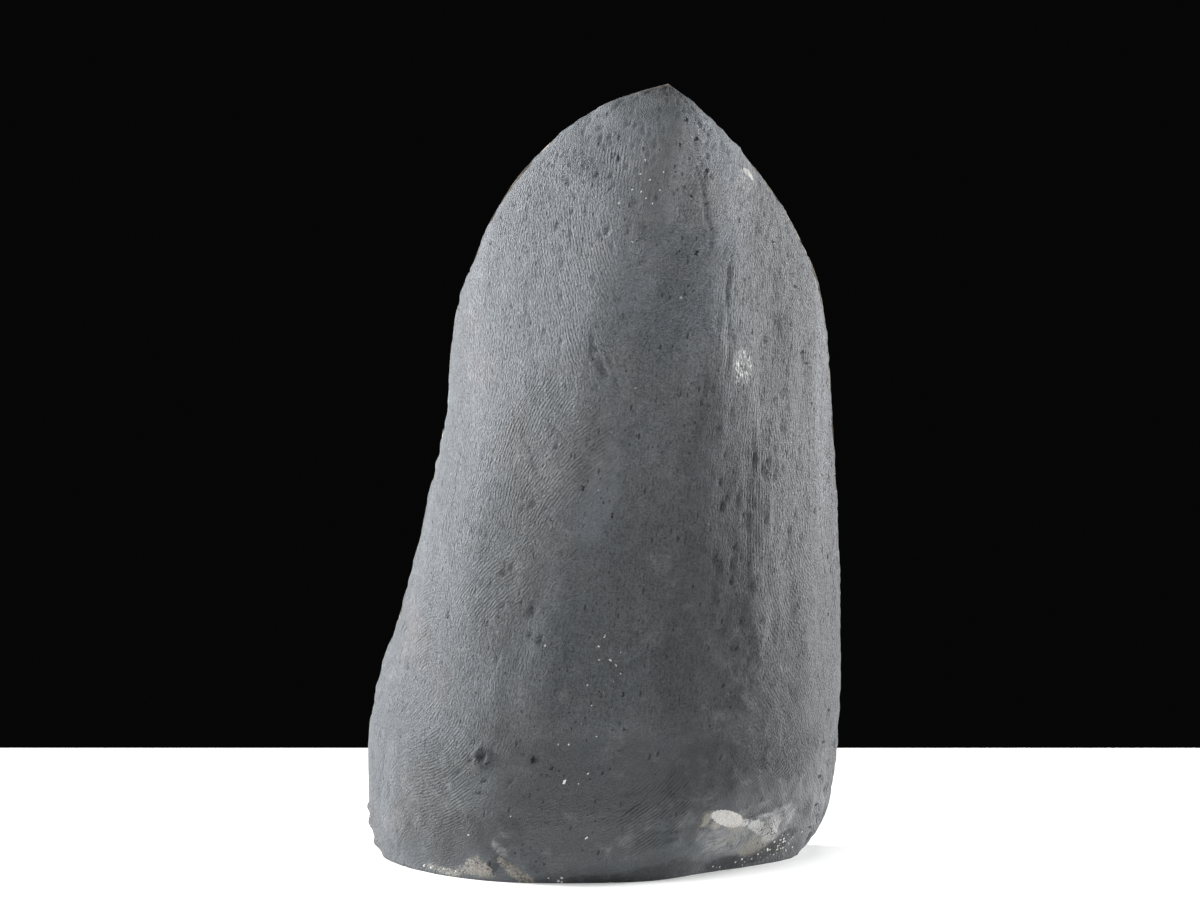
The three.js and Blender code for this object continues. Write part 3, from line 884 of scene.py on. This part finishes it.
HOLES = {  # deep little holes in the paint, likewise
    1.2: [(26.8, 47.4)],
    1.1: [(-40, 267)],
    1: [(-36, 279), (-32, 286), (-52, 248)],
    0.9: [(-35, 236), (8.6, 149.5)],
    0.8: [(-6.5, 73), (-33, 257), (-50, 88)],
    0.7: [(-29, 277), (-56, 250), (-45, 75), (-48, 234)],
    0.6: [(20, 45), (12, 60), (38, 80), (40, 100), (-3, 139), (20, 137), (1, 43), (-33, 112),
        (60, 98), (48, 72), (44, 88), (-40, 60)],
    0.55: [(48.5, 45)],
    0.5: [(8, 135), (-7, 60), (33, 84), (14, 66), (24, 78), (31, 66), (-26, 96), (49.2, 48.7)],
    0.45: [(43.8, 45.9)],
}
FLANK_HOLES = {  # holes on the steep -X flank, wider than they look from behind
    1.2: [(-83, 34), (-82.6, 17.5), (-77, 197)],
    1.1: [(-80, 12.6), (-78.5, 193), (-87, 96)],
    1: [(-85.5, 39), (-81.5, 22), (-86.5, 118), (-80, 178), (-74, 222)],
    0.9: [(-84, 48), (-86, 60), (-84, 150), (-66, 240)],
}


def brushed_noise(shader, unrolled, width, length):
    """Noise drawn out along the brushing, 0 to 1, blended from the fixed leans."""
    lean = shader.read("lean")
    layers = []
    for fixed in FIXED_LEANS:
        place = unrolled.turned(fixed, "Z_AXIS").scaled(1 / width, 1 / length, 1)
        share = abs(lean - fixed).ramp(0, LEAN_STEP, 1, 0)
        layers.append(place.noise(detail=0.6) * share)
    return reduce(Value.__add__, layers)


def bristle_lines(shader, place):
    """Close parallel ridges along the arcs of the fans, 0 to 1."""
    wobble = place.noise(1 / 9, detail=1).centred(1.8)
    worn = place.noise(1 / 6).ramp(0.34, 0.54, 0.1, 1)
    layers = []
    for layer in FANS:
        radius = shader.read(layer + "_radius") + wobble
        wave = (radius * (2 * math.pi / BRISTLE_SPACING)).math("SINE")
        layers.append(wave.ramp(-1, 1) * shader.read(layer))
    return reduce(Value.most, layers) * worn


def coat_pits(shader, unrolled):
    """Short dark dents in the paint, in clusters: 1 inside, 0 outside."""
    clusters = unrolled.noise(1 / 16).ramp(0.42, 0.66)
    often = shader.read("pitted") * clusters * 0.3
    masks = []
    for width, length, rarity in PITS:
        distance, luck = unrolled.scaled(1 / width, 1 / length, 1).cells()
        rare = (luck + often).ramp(rarity, rarity + 0.03)
        masks.append(distance.ramp(0.42, 0.2) * rare)
    return reduce(Value.most, masks)


def placed(back, unrolled, spots, slender=1):
    """A mask of round or slender spots at places seen from behind: 1 inside, 0 outside."""
    bent = unrolled.noise(0.9, detail=0, output="Color")
    bent = bent.vector("MULTIPLY_ADD", (1.6, 1.6, 0), unrolled)
    level = bent.vector("SUBTRACT", (0.8, 0.8, 0)).scaled(slender, 1 / slender, 0)
    masks = []
    for radius, places in spots.items():
        for x, height in places:
            spot = back.find(x, height)
            middle = (slender * back.across[spot], back.up[spot] / slender, 0)
            gap = level.vector("DISTANCE", middle, output="Value")
            masks.append(gap.ramp(1.1 * radius, 0.7 * radius))
    return reduce(Value.most, masks)


def grit_grains(shader, place):
    """Pale grains of many sizes stuck on where the grit patches say."""
    distance, luck = place.cells(1 / 1.25)
    size = (luck + shader.read("grit")).ramp(1.25, 1.85, 0, 0.48)
    return (size - distance).ramp(0, 0.08)


def wiped(place):
    """Soft curved streaks left by a cloth wiped up towards the geode's -X side."""
    drift = place.noise(1 / 13, detail=0, output="Color")
    bent = drift.vector("MULTIPLY_ADD", (16, 0, 16), place)
    streaks = bent.turned(SMEAR_TURN, "Y_AXIS").scaled(1 / 7, 1 / 3, 1 / 0.95).noise()
    return streaks.ramp(0.3, 0.7, 0.3, 1)


def paint_tone(shader, place, fine, grain, streaks, blotch):
    """The grey paint alone: clouds, brush marks and grain with painted shade in their hollows, paint
    lighter towards the top, and patches of painted shade and painted highlight.
    """
    x, z = (add_node(place.tree, "SeparateXYZ", {0: place}, axis) for axis in "XZ")
    warm = place.noise(1 / 34, detail=3).ramp(0.45, 0.7).most(x.ramp(-42, -58))
    marks = blotch.ramp(0.3, 0.7, -0.08, 0.08)
    # Painted shade and highlight on the brush relief: the paint is darker in the hollows of the streaks,
    # hairs and grain and lighter on their ridges.
    for value, low, high in ((fine, -0.22, 0.12), (grain, -0.3, 0.16), (streaks, -0.1, 0.08)):
        marks = marks + value.ramp(0.2, 0.7, low, high)
    marks = marks * shader.read("smooth").ramp(0, 1, 1, 0.35)
    middle = abs(x + 8).ramp(15, 50, 0.42, 0.22)
    marks = marks + place.noise(1 / 0.45, detail=0).centred(1.3) * middle
    colour = (marks + 1).tint(warm.mix(PAINT, PAINT_WARM))
    # Painted light and shade: the paint grows lighter towards the top and darker towards the foot.
    colour = z.ramp(30, 280, 0.95, 1.18).tint(colour)
    # Painted shade where the deep patches lie.
    colour = (1 - shader.read("deep") * 0.4).tint(colour)
    # Painted highlights where the pale patches lie.
    return shader.read("pale").ramp(0, 1, 1, 1.4).tint(colour)


def worn_places(shader, colour, place, grain, blotch, ragged):
    """Smears, showing mortar, lime, scuffs and bare plaster over the paint."""
    fibres = grain.centred(0.9)
    frayed = ragged + fibres
    soft = ragged + place.noise(1 / 11, detail=1).centred(1.2)
    smeared = (shader.read("smeared") + soft).ramp(0.05, 1.15) * wiped(place)
    colour = (smeared * SMEAR_COVER).mix(colour, PAINT_DUST)
    brown = blotch.ramp(0.35, 0.6).mix(MORTAR_BROWN, MORTAR_PALE)
    brown = grain.ramp(0.3, 0.55, 0.4, 1.15).tint(brown)
    showing = (shader.read("tan") + frayed).ramp(0.4, 0.9)
    colour = (showing * MORTAR_COVER).mix(colour, brown)
    lime = (shader.read("cream") + frayed).ramp(0.25, 1.1)
    colour = (lime * LIME_COVER).mix(colour, LIME_CREAM)
    scuffed = (shader.read("scuffed") + frayed).ramp(0.3, 0.9)
    colour = scuffed.mix(colour, PLASTER_GREY)
    crack = abs(place.noise(1 / 2.2, detail=1) - 0.5)
    crack = crack.ramp(0.045, 0.01) * shader.read("cracked")
    colour = crack.ramp(0.3, 0.8, 1, 0.2).tint(colour)
    bare = (shader.read("bare") + fibres * 0.32).ramp(0.88, 1.04)
    return bare.mix(colour, grain.ramp(0.3, 0.7, 0.88, 1.1).tint(PLASTER))


def coat_colour(shader, place, fine, grain, streaks):
    """Grey paint with painted shade and highlights and dark marks, with dust, scuffs and mortar at the foot
    and the rubbed spot.
    """
    blotch = place.noise(1 / 5, detail=4, roughness=0.65)
    ragged = blotch.centred(1.3)
    colour = paint_tone(shader, place, fine, grain, streaks, blotch)
    # Darker paint: dark marks by the worn places, and painted shade along the foot and at the tip.
    dark = (shader.read("dark") + ragged).ramp(0.2, 0.9)
    colour = dark.ramp(0, 1, 1, 0.5).tint(colour)
    colour = worn_places(shader, colour, place, grain, blotch, ragged)
    rub = shader.read("rub")
    flecks = (fine + streaks * 0.5).ramp(0.74, 0.92)
    colour = (rub * RUB_COVER).mix(colour, PAINT_DUST)
    return (rub * (flecks * FLECK_COVER)).mix(colour, PLASTER_WHITE)


def coat_grain(shader, place, fine, grain, streaks):
    """Height of the brush streaks and crumbs, lower where the coat is smooth."""
    crumbs = place.noise(1 / 0.42, detail=0)
    relief = streaks.ramp(0.25, 0.7) * STREAK_HEIGHT
    relief = relief + fine.ramp(0.2, 0.7) * HAIR_HEIGHT
    relief = relief + grain.ramp(0.2, 0.75) * GRAIN_HEIGHT
    relief = relief + crumbs.ramp(0.25, 0.7) * CRUMB_HEIGHT
    return relief * shader.read("smooth").ramp(0, 1, 1, 0.25)


def coat_paint(back):
    """Matt dark grey paint over brushed mortar, worn and dusty at the foot."""
    shader = Shader("brushed_grey_paint")
    unrolled = shader.read("unrolled", "Vector")
    place = shader.millimetres()
    streaks = brushed_noise(shader, unrolled, 0.9, 8)
    fine = brushed_noise(shader, unrolled, 0.65, 1.7)
    grain = place.noise(1 / 0.75, detail=1)
    pits = coat_pits(shader, unrolled)
    holes = placed(back, unrolled, HOLES, 1.35).most(placed(back, unrolled, FLANK_HOLES, 0.6))
    specks = grit_grains(shader, place).most(placed(back, unrolled, SPECKS))
    colour = coat_colour(shader, place, fine, grain, streaks)
    colour = pits.ramp(0, 1, 1, PIT_SHADE).tint(colour)
    colour = holes.ramp(0, 1, 1, HOLE_SHADE).tint(colour)
    colour = specks.mix(colour, PLASTER_WHITE)
    relief = coat_grain(shader, place, fine, grain, streaks)
    relief = relief + bristle_lines(shader, place) * BRISTLE_HEIGHT
    relief = relief - pits * PIT_DEPTH - holes * HOLE_DEPTH
    return shader.finish(Base_Color=colour, Roughness=0.8, Normal=relief.bump())


back = Back()
coat = make_coat(back)
coat.data.materials.append(coat_paint(back))
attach(coat, "root")
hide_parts("painted_mortar_back")


# === The hollow ===
MOUTH = [
    (-27, 267), (-3, 258), (21, 239), (37, 212), (42, 178), (50, 138), (62, 98), (71, 62),
    (60, 36), (28, 26), (-12, 29), (-48, 25), (-72, 42), (-77, 78), (-72, 118), (-76, 160),
    (-72, 204), (-60, 234), (-44, 256),
]
HOLLOW_CENTRE = np.array((-8.0, 132.0))
HOLLOW_DEPTH = 68
HOLLOW_FULLNESS = 2.5
QUARTZ_BED = 6.5
FIT_GAP = 0.3


def mouth_radius(angles):
    """Distance from the hollow's middle to its mouth, smoothly round the turn."""
    away = np.array(MOUTH) - HOLLOW_CENTRE
    turns = np.arctan2(away[:, 1], away[:, 0])
    order = np.argsort(turns)
    turns, radii = turns[order], np.linalg.norm(away, axis=1)[order]
    turns = np.concatenate([turns - 2 * math.pi, turns, turns + 2 * math.pi])
    points = np.stack([turns, np.tile(radii, 3)], axis=1)
    return smooth_through(points, (angles + math.pi) % (2 * math.pi) - math.pi)


def hollow_points(angles, ring, inset):
    """Points of the hollow's wall moved in by inset: the mouth at ring 0, the bottom at 1."""
    share = np.cos(ring * math.pi / 2) ** (2 / HOLLOW_FULLNESS)
    inward = np.sin(ring * math.pi / 2) ** (2 / HOLLOW_FULLNESS)
    radius = (mouth_radius(angles) - inset) * share
    x = HOLLOW_CENTRE[0] + radius * np.cos(angles)
    z = HOLLOW_CENTRE[1] + radius * np.sin(angles)
    return np.stack([x, (HOLLOW_DEPTH - inset) * inward + 0 * x, z], axis=-1)


def closed_mesh(name, points, faces):
    """A mesh of the given metres and faces, turned so that every face looks outwards."""
    mesh = bpy.data.meshes.new(name)
    mesh.from_pydata(points.tolist(), [], faces)
    shape = bmesh.new()
    shape.from_mesh(mesh)
    bmesh.ops.recalc_face_normals(shape, faces=shape.faces)
    if shape.calc_volume(signed=True) < 0:
        bmesh.ops.reverse_faces(shape, faces=shape.faces)
    shape.to_mesh(mesh)
    shape.free()
    return mesh


def ringed_mesh(name, loops, poles):
    """A closed mesh of rings of points, with a pole for its first or last ring (0 or -1) at
    either end. Points are in outline millimetres."""
    index = numbered(len(loops), len(loops[0]))
    index = np.hstack([index, index[:, :1]])
    faces = grid_faces(index)
    for pole, (ring, _) in enumerate(poles, index[-1, -2] + 1):
        around = index[ring].tolist()
        faces += [(here, following, int(pole)) for here, following in zip(around, around[1:])]
    points = to_frame(np.concatenate([*loops, [place for _, place in poles]]))
    return closed_mesh(name, np.clip(points, STONE_LOW, STONE_HIGH), faces)


def on_axis(depth):
    """The point of the hollow's middle line at a depth behind the sawn front."""
    return HOLLOW_CENTRE[0], depth, HOLLOW_CENTRE[1]


# === The stone rind ===
RIM_POINTS = 420  # round the sawn face
RIM_LOOPS = 30  # across the sawn face, from the crystals to the skin
WALL_RINGS = (0.9, 0.7, 0.5, 0.3, 0.12)
RIND_SHRINK = (3.5, 5.3, 5.3)
LIP_DEPTH = 1.1
HIDDEN_SHARES = (0.985, 0.94, 0.85, 0.7, 0.5, 0.25)  # rings of the hidden back
BACK_MIDDLE = HOLLOW_CENTRE * (1, 0.8)  # where they close
CHIP_DEPTH = 1.4
CHIP_SPACING = 7
BEVEL = 0.35


def outline_points(count):
    """The sawn face's outline, from the +X foot over the tip and back along the foot."""
    rise = np.linspace(0, HEIGHT, 1500)
    left = np.stack([smooth_through(LEFT_EDGE, rise), rise], axis=1)
    right = np.stack([smooth_through(RIGHT_EDGE, rise[::-1]), rise[::-1]], axis=1)
    sides = [left, right, np.array([right[-1], left[0]])]
    lengths = [lengths_along(side)[-1] for side in sides]
    points = []
    for side, length in zip(sides, lengths):
        marks = np.linspace(0, length, round(count * length / sum(lengths)), endpoint=False)
        points.append(points_along(side, marks))
    return np.concatenate(points)


def dome_depth(points, shrink):
    """Depth of the shrunk dome behind the sawn plane at each (x, height)."""
    scale = shell_scale(*shrink)
    heights = np.clip(points[:, 1] / scale[2], 0, HEIGHT - 0.01)
    curves = section_curves(heights)
    depths = []
    for curve, x in zip(curves, points[:, 0] / scale[0]):
        order = np.argsort(curve[:, 0])
        depths.append(np.interp(x, curve[order, 0], curve[order, 1]))
    return np.array(depths) * scale[1]


def flat_loop(outline, y):
    """An outline as a ring of points at one depth."""
    return np.stack([outline[:, 0], np.zeros(len(outline)) + y, outline[:, 1]], axis=1)


def chipped(outline, seed):
    """The outline with small chips knocked out of it."""
    places = flat(outline[:, 0], outline[:, 1], CHIP_SPACING, CHIP_SPACING)
    chips = smooth_step(noise(places, seed), 0.1, 0.7)
    chips = chips + 0.3 * smooth_step(noise(3 * places, seed + 1), 0, 1)
    away = outline - HOLLOW_CENTRE
    lengths = np.linalg.norm(away, axis=1, keepdims=True)
    foot = outline[:, 1:] <= 0.01
    return HOLLOW_CENTRE + away * (1 - CHIP_DEPTH * chips[:, None] * ~foot / lengths)


def rind_loops(outline):
    """Rings of points from the bottom of the hollow out over the rim and round the back."""
    away = outline - HOLLOW_CENTRE
    angles = np.arctan2(away[:, 1], away[:, 0])
    loops = [hollow_points(angles, ring, 0) for ring in WALL_RINGS]
    mouth = hollow_points(angles, 0, 0)[:, ::2]
    edge = chipped(outline, 71)
    inner_edge = edge + (HOLLOW_CENTRE - edge) * BEVEL / np.linalg.norm(away, axis=1, keepdims=True)
    for share in np.linspace(0, 1, RIM_LOOPS):
        loops.append(flat_loop(mouth + (inner_edge - mouth) * share, 0))
    loops.append(flat_loop(edge, BEVEL))
    loops.append(flat_loop(chipped(outline, 75), LIP_DEPTH))
    shrunk = outline * shell_scale(*RIND_SHRINK)[[0, 2]]
    loops.append(flat_loop(shrunk, LIP_DEPTH))
    foot = outline[:, 1] <= 0.01
    loops.append(flat_loop(shrunk, 2 * LIP_DEPTH))
    loops[-1][foot, 1] = dome_depth(shrunk[foot], RIND_SHRINK)
    for share in HIDDEN_SHARES:
        place = BACK_MIDDLE + (shrunk - BACK_MIDDLE) * share
        loop = flat_loop(place, 0)
        loop[:, 1] = np.maximum(dome_depth(place, RIND_SHRINK), 2 * LIP_DEPTH)
        loops.append(loop)
    return loops


def make_rind():
    """The stone, with each rim point's distance from the crystals and from the skin."""
    loops = rind_loops(outline_points(RIM_POINTS))
    back_depth = dome_depth(BACK_MIDDLE[None], RIND_SHRINK)[0]
    back_pole = (BACK_MIDDLE[0], back_depth, BACK_MIDDLE[1])
    mesh = ringed_mesh("rind", loops, [(0, on_axis(HOLLOW_DEPTH)), (-1, back_pole)])
    wall, rim_end = len(WALL_RINGS), len(WALL_RINGS) + RIM_LOOPS
    share = np.zeros((len(loops), len(loops[0])))
    share[wall:rim_end] = np.linspace(0, 1, RIM_LOOPS)[:, None]
    share[rim_end:] = 1
    width = np.linalg.norm(loops[rim_end - 1] - loops[wall], axis=1)
    add_values(mesh, "from_crystals", share * width, 2)
    add_values(mesh, "from_skin", (1 - share) * width, 2)
    return add_object("banded_rind", mesh)


SKIN = (0.2, 0.175, 0.155)
SKIN_PALE = (0.36, 0.32, 0.27)
BASALT = (0.085, 0.08, 0.074)
BASALT_BROWN = (0.16, 0.12, 0.09)
CELADON = (0.16, 0.19, 0.15)
AGATE_DARK = (0.13, 0.145, 0.17)
AGATE_PALE = (0.42, 0.43, 0.46)
QUARTZ_WHITE = (0.5, 0.48, 0.52)


def rind_stone():
    """Polished rim: quartz and agate bands round the crystals, then basalt, then weathered skin."""
    shader = Shader("polished_banded_stone")
    place = shader.millimetres()
    bend = place.noise(1 / 14, detail=3).centred(9) + place.noise(1 / 3.5).centred(1.2)
    inner = shader.read("from_crystals") + bend
    outer = shader.read("from_skin") + place.noise(1 / 9, detail=4).centred(5)
    grain = place.noise(1 / 0.8, detail=3, roughness=0.6)
    mottle = place.noise(1 / 4, detail=4, roughness=0.6)
    bands = add_node(shader.tree, "CombineXYZ", {0: inner}).noise(1.15, roughness=0.7)

    agate = bands.ramp(0.38, 0.6).mix(AGATE_DARK, AGATE_PALE)
    quartz = inner.ramp(0.5, 3.0).mix(QUARTZ_WHITE, agate)
    basalt = mottle.ramp(0.4, 0.65).mix(BASALT, BASALT_BROWN)
    basalt = grain.ramp(0.25, 0.75, 0.6, 1.5).tint(basalt)
    stone = inner.ramp(8.6, 9.2).mix(quartz, CELADON)
    stone = inner.ramp(9.8, 10.6).mix(stone, basalt)
    skin = mottle.ramp(0.35, 0.65).mix(SKIN, SKIN_PALE)
    skin = grain.ramp(0.25, 0.75, 0.75, 1.2).tint(skin)
    colour = outer.ramp(2.6, 1.4).mix(stone, skin)
    rough = outer.ramp(3.0, 1.2, 0.16, 0.75)
    relief = grain * outer.ramp(3.0, 1.2, 0.01, 0.3)
    return shader.finish(Base_Color=colour, Roughness=rough, Normal=relief.bump())


rind = make_rind()
rind.data.materials.append(rind_stone())
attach(rind, "root")
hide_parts("stone_rind")


# === The crystals ===
CRYSTAL_RADII = (9.5, 7.8, 6.4, 5.3, 4.4, 3.6)  # tried largest first
CRYSTAL_TRIES = (60, 160, 420, 1100, 2400, 4200)
CRYSTAL_CLOSENESS = 0.8  # spacing of neighbours, as a share of their radii together
CRYSTAL_LEAN = 0.28
CRYSTAL_SPREAD = (0.88, 1.1)  # how much the radii of one size differ
CRYSTAL_RISE = (-0.25, 0.35)  # how far a seat stands off the bed, in radii
CRYSTAL_VARIANTS = 24
# Sizes of a crystal of unit radius
SIDE_SPREAD = (0.86, 1.02)
POINT_SLOPE = 1.27
TIP_HEIGHT = 1.1
TIP_SPREAD = (-0.12, 0.16)
SMALL_FACE_RISE = 0.34  # every other face of the point is smaller, because it starts higher
ROOT_DEPTH = 2.0
BED_RINGS = 26
BED_POINTS = 150
LAST_RING = 0.97  # the ring next to the bottom's middle
KEEP_APART = 0.35  # clearance between crystals that are joined in one go
BALL_STEPS = np.array((-ROOT_DEPTH, -1.2, -0.4, 0.3, 0.9))  # a crystal as a row of balls
BALL_SIZE = 1.12


def crystal_variant(dice):
    """A six-sided quartz point of unit radius along +Z, with uneven faces: points and faces."""
    shape = bmesh.new()
    bmesh.ops.create_cube(shape, size=6)
    planes = []
    for k in range(6):
        turn = k * math.pi / 3
        flat_way = Vector((math.cos(turn), math.sin(turn), 0))
        reach = math.cos(math.pi / 6) * dice.uniform(*SIDE_SPREAD)
        planes.append((flat_way * reach, flat_way))
        slope = (flat_way * POINT_SLOPE + Vector((0, 0, 1))).normalized()
        tip = TIP_HEIGHT + (0 if k % 2 else SMALL_FACE_RISE) + dice.uniform(*TIP_SPREAD)
        planes.append((Vector((0, 0, tip)), slope))
    planes.append((Vector((0, 0, -ROOT_DEPTH)), Vector((0, 0, -1))))
    for place, way in planes:
        parts = list(shape.verts) + list(shape.edges) + list(shape.faces)
        cut = bmesh.ops.bisect_plane(shape, geom=parts, plane_co=place, plane_no=way, clear_outer=True)
        edges = [part for part in cut["geom_cut"] if isinstance(part, bmesh.types.BMEdge)]
        if edges:
            bmesh.ops.contextual_create(shape, geom=edges)
    bmesh.ops.remove_doubles(shape, verts=shape.verts, dist=1e-4)
    bmesh.ops.recalc_face_normals(shape, faces=shape.faces)
    shape.verts.index_update()
    points = np.array([vertex.co[:] for vertex in shape.verts])
    faces = [[vertex.index for vertex in face.verts] for face in shape.faces]
    shape.free()
    return points, faces


def bed_surface():
    """Points and inward normals spread evenly over the bed that the crystals grow from."""
    angles = np.linspace(-math.pi, math.pi, 721)[:-1]
    rings = np.linspace(0, 0.999, 240)
    grid = np.array([hollow_points(angles, ring, QUARTZ_BED) for ring in rings])
    around = np.roll(grid, -1, axis=1) - np.roll(grid, 1, axis=1)
    deeper = np.gradient(grid, axis=0)
    normal = np.cross(around, deeper)
    area = np.linalg.norm(normal, axis=-1)
    normal = normal / np.maximum(area, 1e-9)[..., None]
    middle = np.array((HOLLOW_CENTRE[0], 0, HOLLOW_CENTRE[1]))
    facing = np.sign(np.sum(normal * (middle - grid), axis=-1, keepdims=True))
    return grid.reshape(-1, 3), (normal * facing).reshape(-1, 3), area.ravel() / area.sum()


def scatter_crystals(dice):
    """Seats, axes and radii of crystals that crowd the bed without burying each other."""
    places, normals, share = bed_surface()
    seats, axes, radii = np.zeros((0, 3)), np.zeros((0, 3)), np.zeros(0)
    for size, tries in zip(CRYSTAL_RADII, CRYSTAL_TRIES):
        for pick in dice.choice(len(places), tries, p=share):
            radius = size * dice.uniform(*CRYSTAL_SPREAD)
            spare = np.linalg.norm(seats - places[pick], axis=1)
            if np.any(spare < CRYSTAL_CLOSENESS * (radii + radius)):
                continue
            axis = normals[pick] + dice.normal(0, CRYSTAL_LEAN, 3)
            axis /= np.linalg.norm(axis)
            seat = places[pick] + axis * radius * dice.uniform(*CRYSTAL_RISE)
            seats = np.vstack([seats, seat])
            axes = np.vstack([axes, axis])
            radii = np.append(radii, radius)
    return seats, axes, radii


def apart(first, others, seats, axes, radii):
    """Whether one crystal is clear of several others, each taken as a row of balls."""
    mine = seats[first] + np.outer(BALL_STEPS, axes[first]) * radii[first]
    rows = axes[others][:, None] * BALL_STEPS[None, :, None] * radii[others][:, None, None]
    theirs = seats[others][:, None] + rows
    gaps = np.linalg.norm(mine[None, :, None] - theirs[:, None, :], axis=-1).min(axis=(1, 2))
    return bool(np.all(gaps > BALL_SIZE * (radii[first] + radii[others]) + KEEP_APART))


def crystal_batches(seats, axes, radii):
    """Crystals sorted into batches in which none touches another."""
    batches = []
    for crystal in range(len(radii)):
        for batch in batches:
            if apart(crystal, np.array(batch), seats, axes, radii):
                batch.append(crystal)
                break
        else:
            batches.append([crystal])
    return batches


def batch_mesh(batch, variants, seats, axes, radii, dice):
    """The crystals of one batch in one mesh, each turned at random about its axis."""
    points, faces, start = [], [], 0
    for crystal in batch:
        shape, shape_faces = variants[dice.integers(len(variants))]
        turn = dice.uniform(0, 2 * math.pi)
        axis = axes[crystal]
        side = np.cross(axis, (0.3, 0.5, 0.8))
        side /= np.linalg.norm(side)
        other = np.cross(axis, side)
        across = math.cos(turn) * side + math.sin(turn) * other
        upward = np.cross(axis, across)
        placed = shape @ np.array([across, upward, axis]) * radii[crystal] + seats[crystal]
        points.append(placed)
        faces += [[start + index for index in face] for face in shape_faces]
        start += len(shape)
    return closed_mesh("batch", to_frame(np.concatenate(points)), faces)


def bowl_loops(inset):
    """Rings of the hollow's wall moved in by inset, from its mouth towards the bottom."""
    angles = np.linspace(0, 2 * math.pi, BED_POINTS, endpoint=False)
    return [hollow_points(angles, ring, inset) for ring in np.linspace(0, LAST_RING, BED_RINGS)]


def bowl_mesh():
    """The hollow's space as a closed bowl, flat across its mouth."""
    poles = [(-1, on_axis(HOLLOW_DEPTH - FIT_GAP)), (0, on_axis(0))]
    return ringed_mesh("bowl", bowl_loops(FIT_GAP), poles)


def bed_mesh():
    """The quartz that lines the hollow, under the crystals."""
    loops = bowl_loops(QUARTZ_BED)[::-1] + bowl_loops(FIT_GAP)
    poles = [(0, on_axis(HOLLOW_DEPTH - QUARTZ_BED)), (-1, on_axis(HOLLOW_DEPTH - FIT_GAP))]
    return ringed_mesh("bed", loops, poles)


def combine(target, tool_mesh, operation):
    """Join or intersect a mesh object with a tool mesh, exactly."""
    tool = add_object("tool", tool_mesh)
    change = target.modifiers.new("combine", "BOOLEAN")
    change.object = tool
    change.operation = operation
    change.solver = "MANIFOLD"
    result = target.evaluated_get(bpy.context.evaluated_depsgraph_get())
    mesh = bpy.data.meshes.new_from_object(result)
    target.modifiers.clear()
    target.data = mesh
    bpy.data.objects.remove(tool)


def make_crystals():
    dice = np.random.default_rng(2)
    variants = [crystal_variant(dice) for _ in range(CRYSTAL_VARIANTS)]
    seats, axes, radii = scatter_crystals(dice)
    crystals = add_object("crystal_lining", bed_mesh())
    for batch in crystal_batches(seats, axes, radii):
        combine(crystals, batch_mesh(batch, variants, seats, axes, radii, dice), "UNION")
    combine(crystals, bowl_mesh(), "INTERSECT")
    crystals.data.shade_flat()
    return crystals


AMETHYST_TIP = (0.42, 0.24, 0.72)
AMETHYST_ROOT = (0.74, 0.7, 0.8)
AMETHYST_ABSORPTION = {"Color": (0.5, 0.2, 0.75), "Density": 22}
ROOT_HEIGHT = 13  # above the hollow's wall, where the pale roots have turned purple


def add_growth(mesh):
    """Marks how far each point of the crystals stands above the hollow's wall."""
    points = np.array([vertex.co[:] for vertex in mesh.vertices])
    points = (points - (0, FRONT, 0)) / MM - (SIDEWAYS, 0, 0)
    away = points[:, [0, 2]] - HOLLOW_CENTRE
    sideways = np.linalg.norm(away, axis=1) / mouth_radius(np.arctan2(away[:, 1], away[:, 0]))
    inward = np.maximum(points[:, 1], 0) / HOLLOW_DEPTH
    level = (sideways**HOLLOW_FULLNESS + inward**HOLLOW_FULLNESS) ** (1 / HOLLOW_FULLNESS)
    add_values(mesh, "growth", (1 - level) * HOLLOW_DEPTH, 0)


def amethyst():
    """See-through quartz, whitish at the roots and purple at the tips."""
    shader = Shader("amethyst")
    growth = shader.read("growth") + shader.millimetres().noise(1 / 9).centred(8)
    colour = growth.ramp(2, ROOT_HEIGHT).mix(AMETHYST_ROOT, AMETHYST_TIP)
    volume = add_node(shader.tree, "VolumeAbsorption", AMETHYST_ABSORPTION)
    feed(shader.tree, shader.tree.nodes["Material Output"].inputs["Volume"], volume)
    return shader.finish(Base_Color=colour, Transmission_Weight=0.6, IOR=1.544, Roughness=0.05)


crystals = make_crystals()
crystals.data.materials.clear()
add_growth(crystals.data)
crystals.data.materials.append(amethyst())
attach(crystals, "root")
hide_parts("amethyst_crystals")
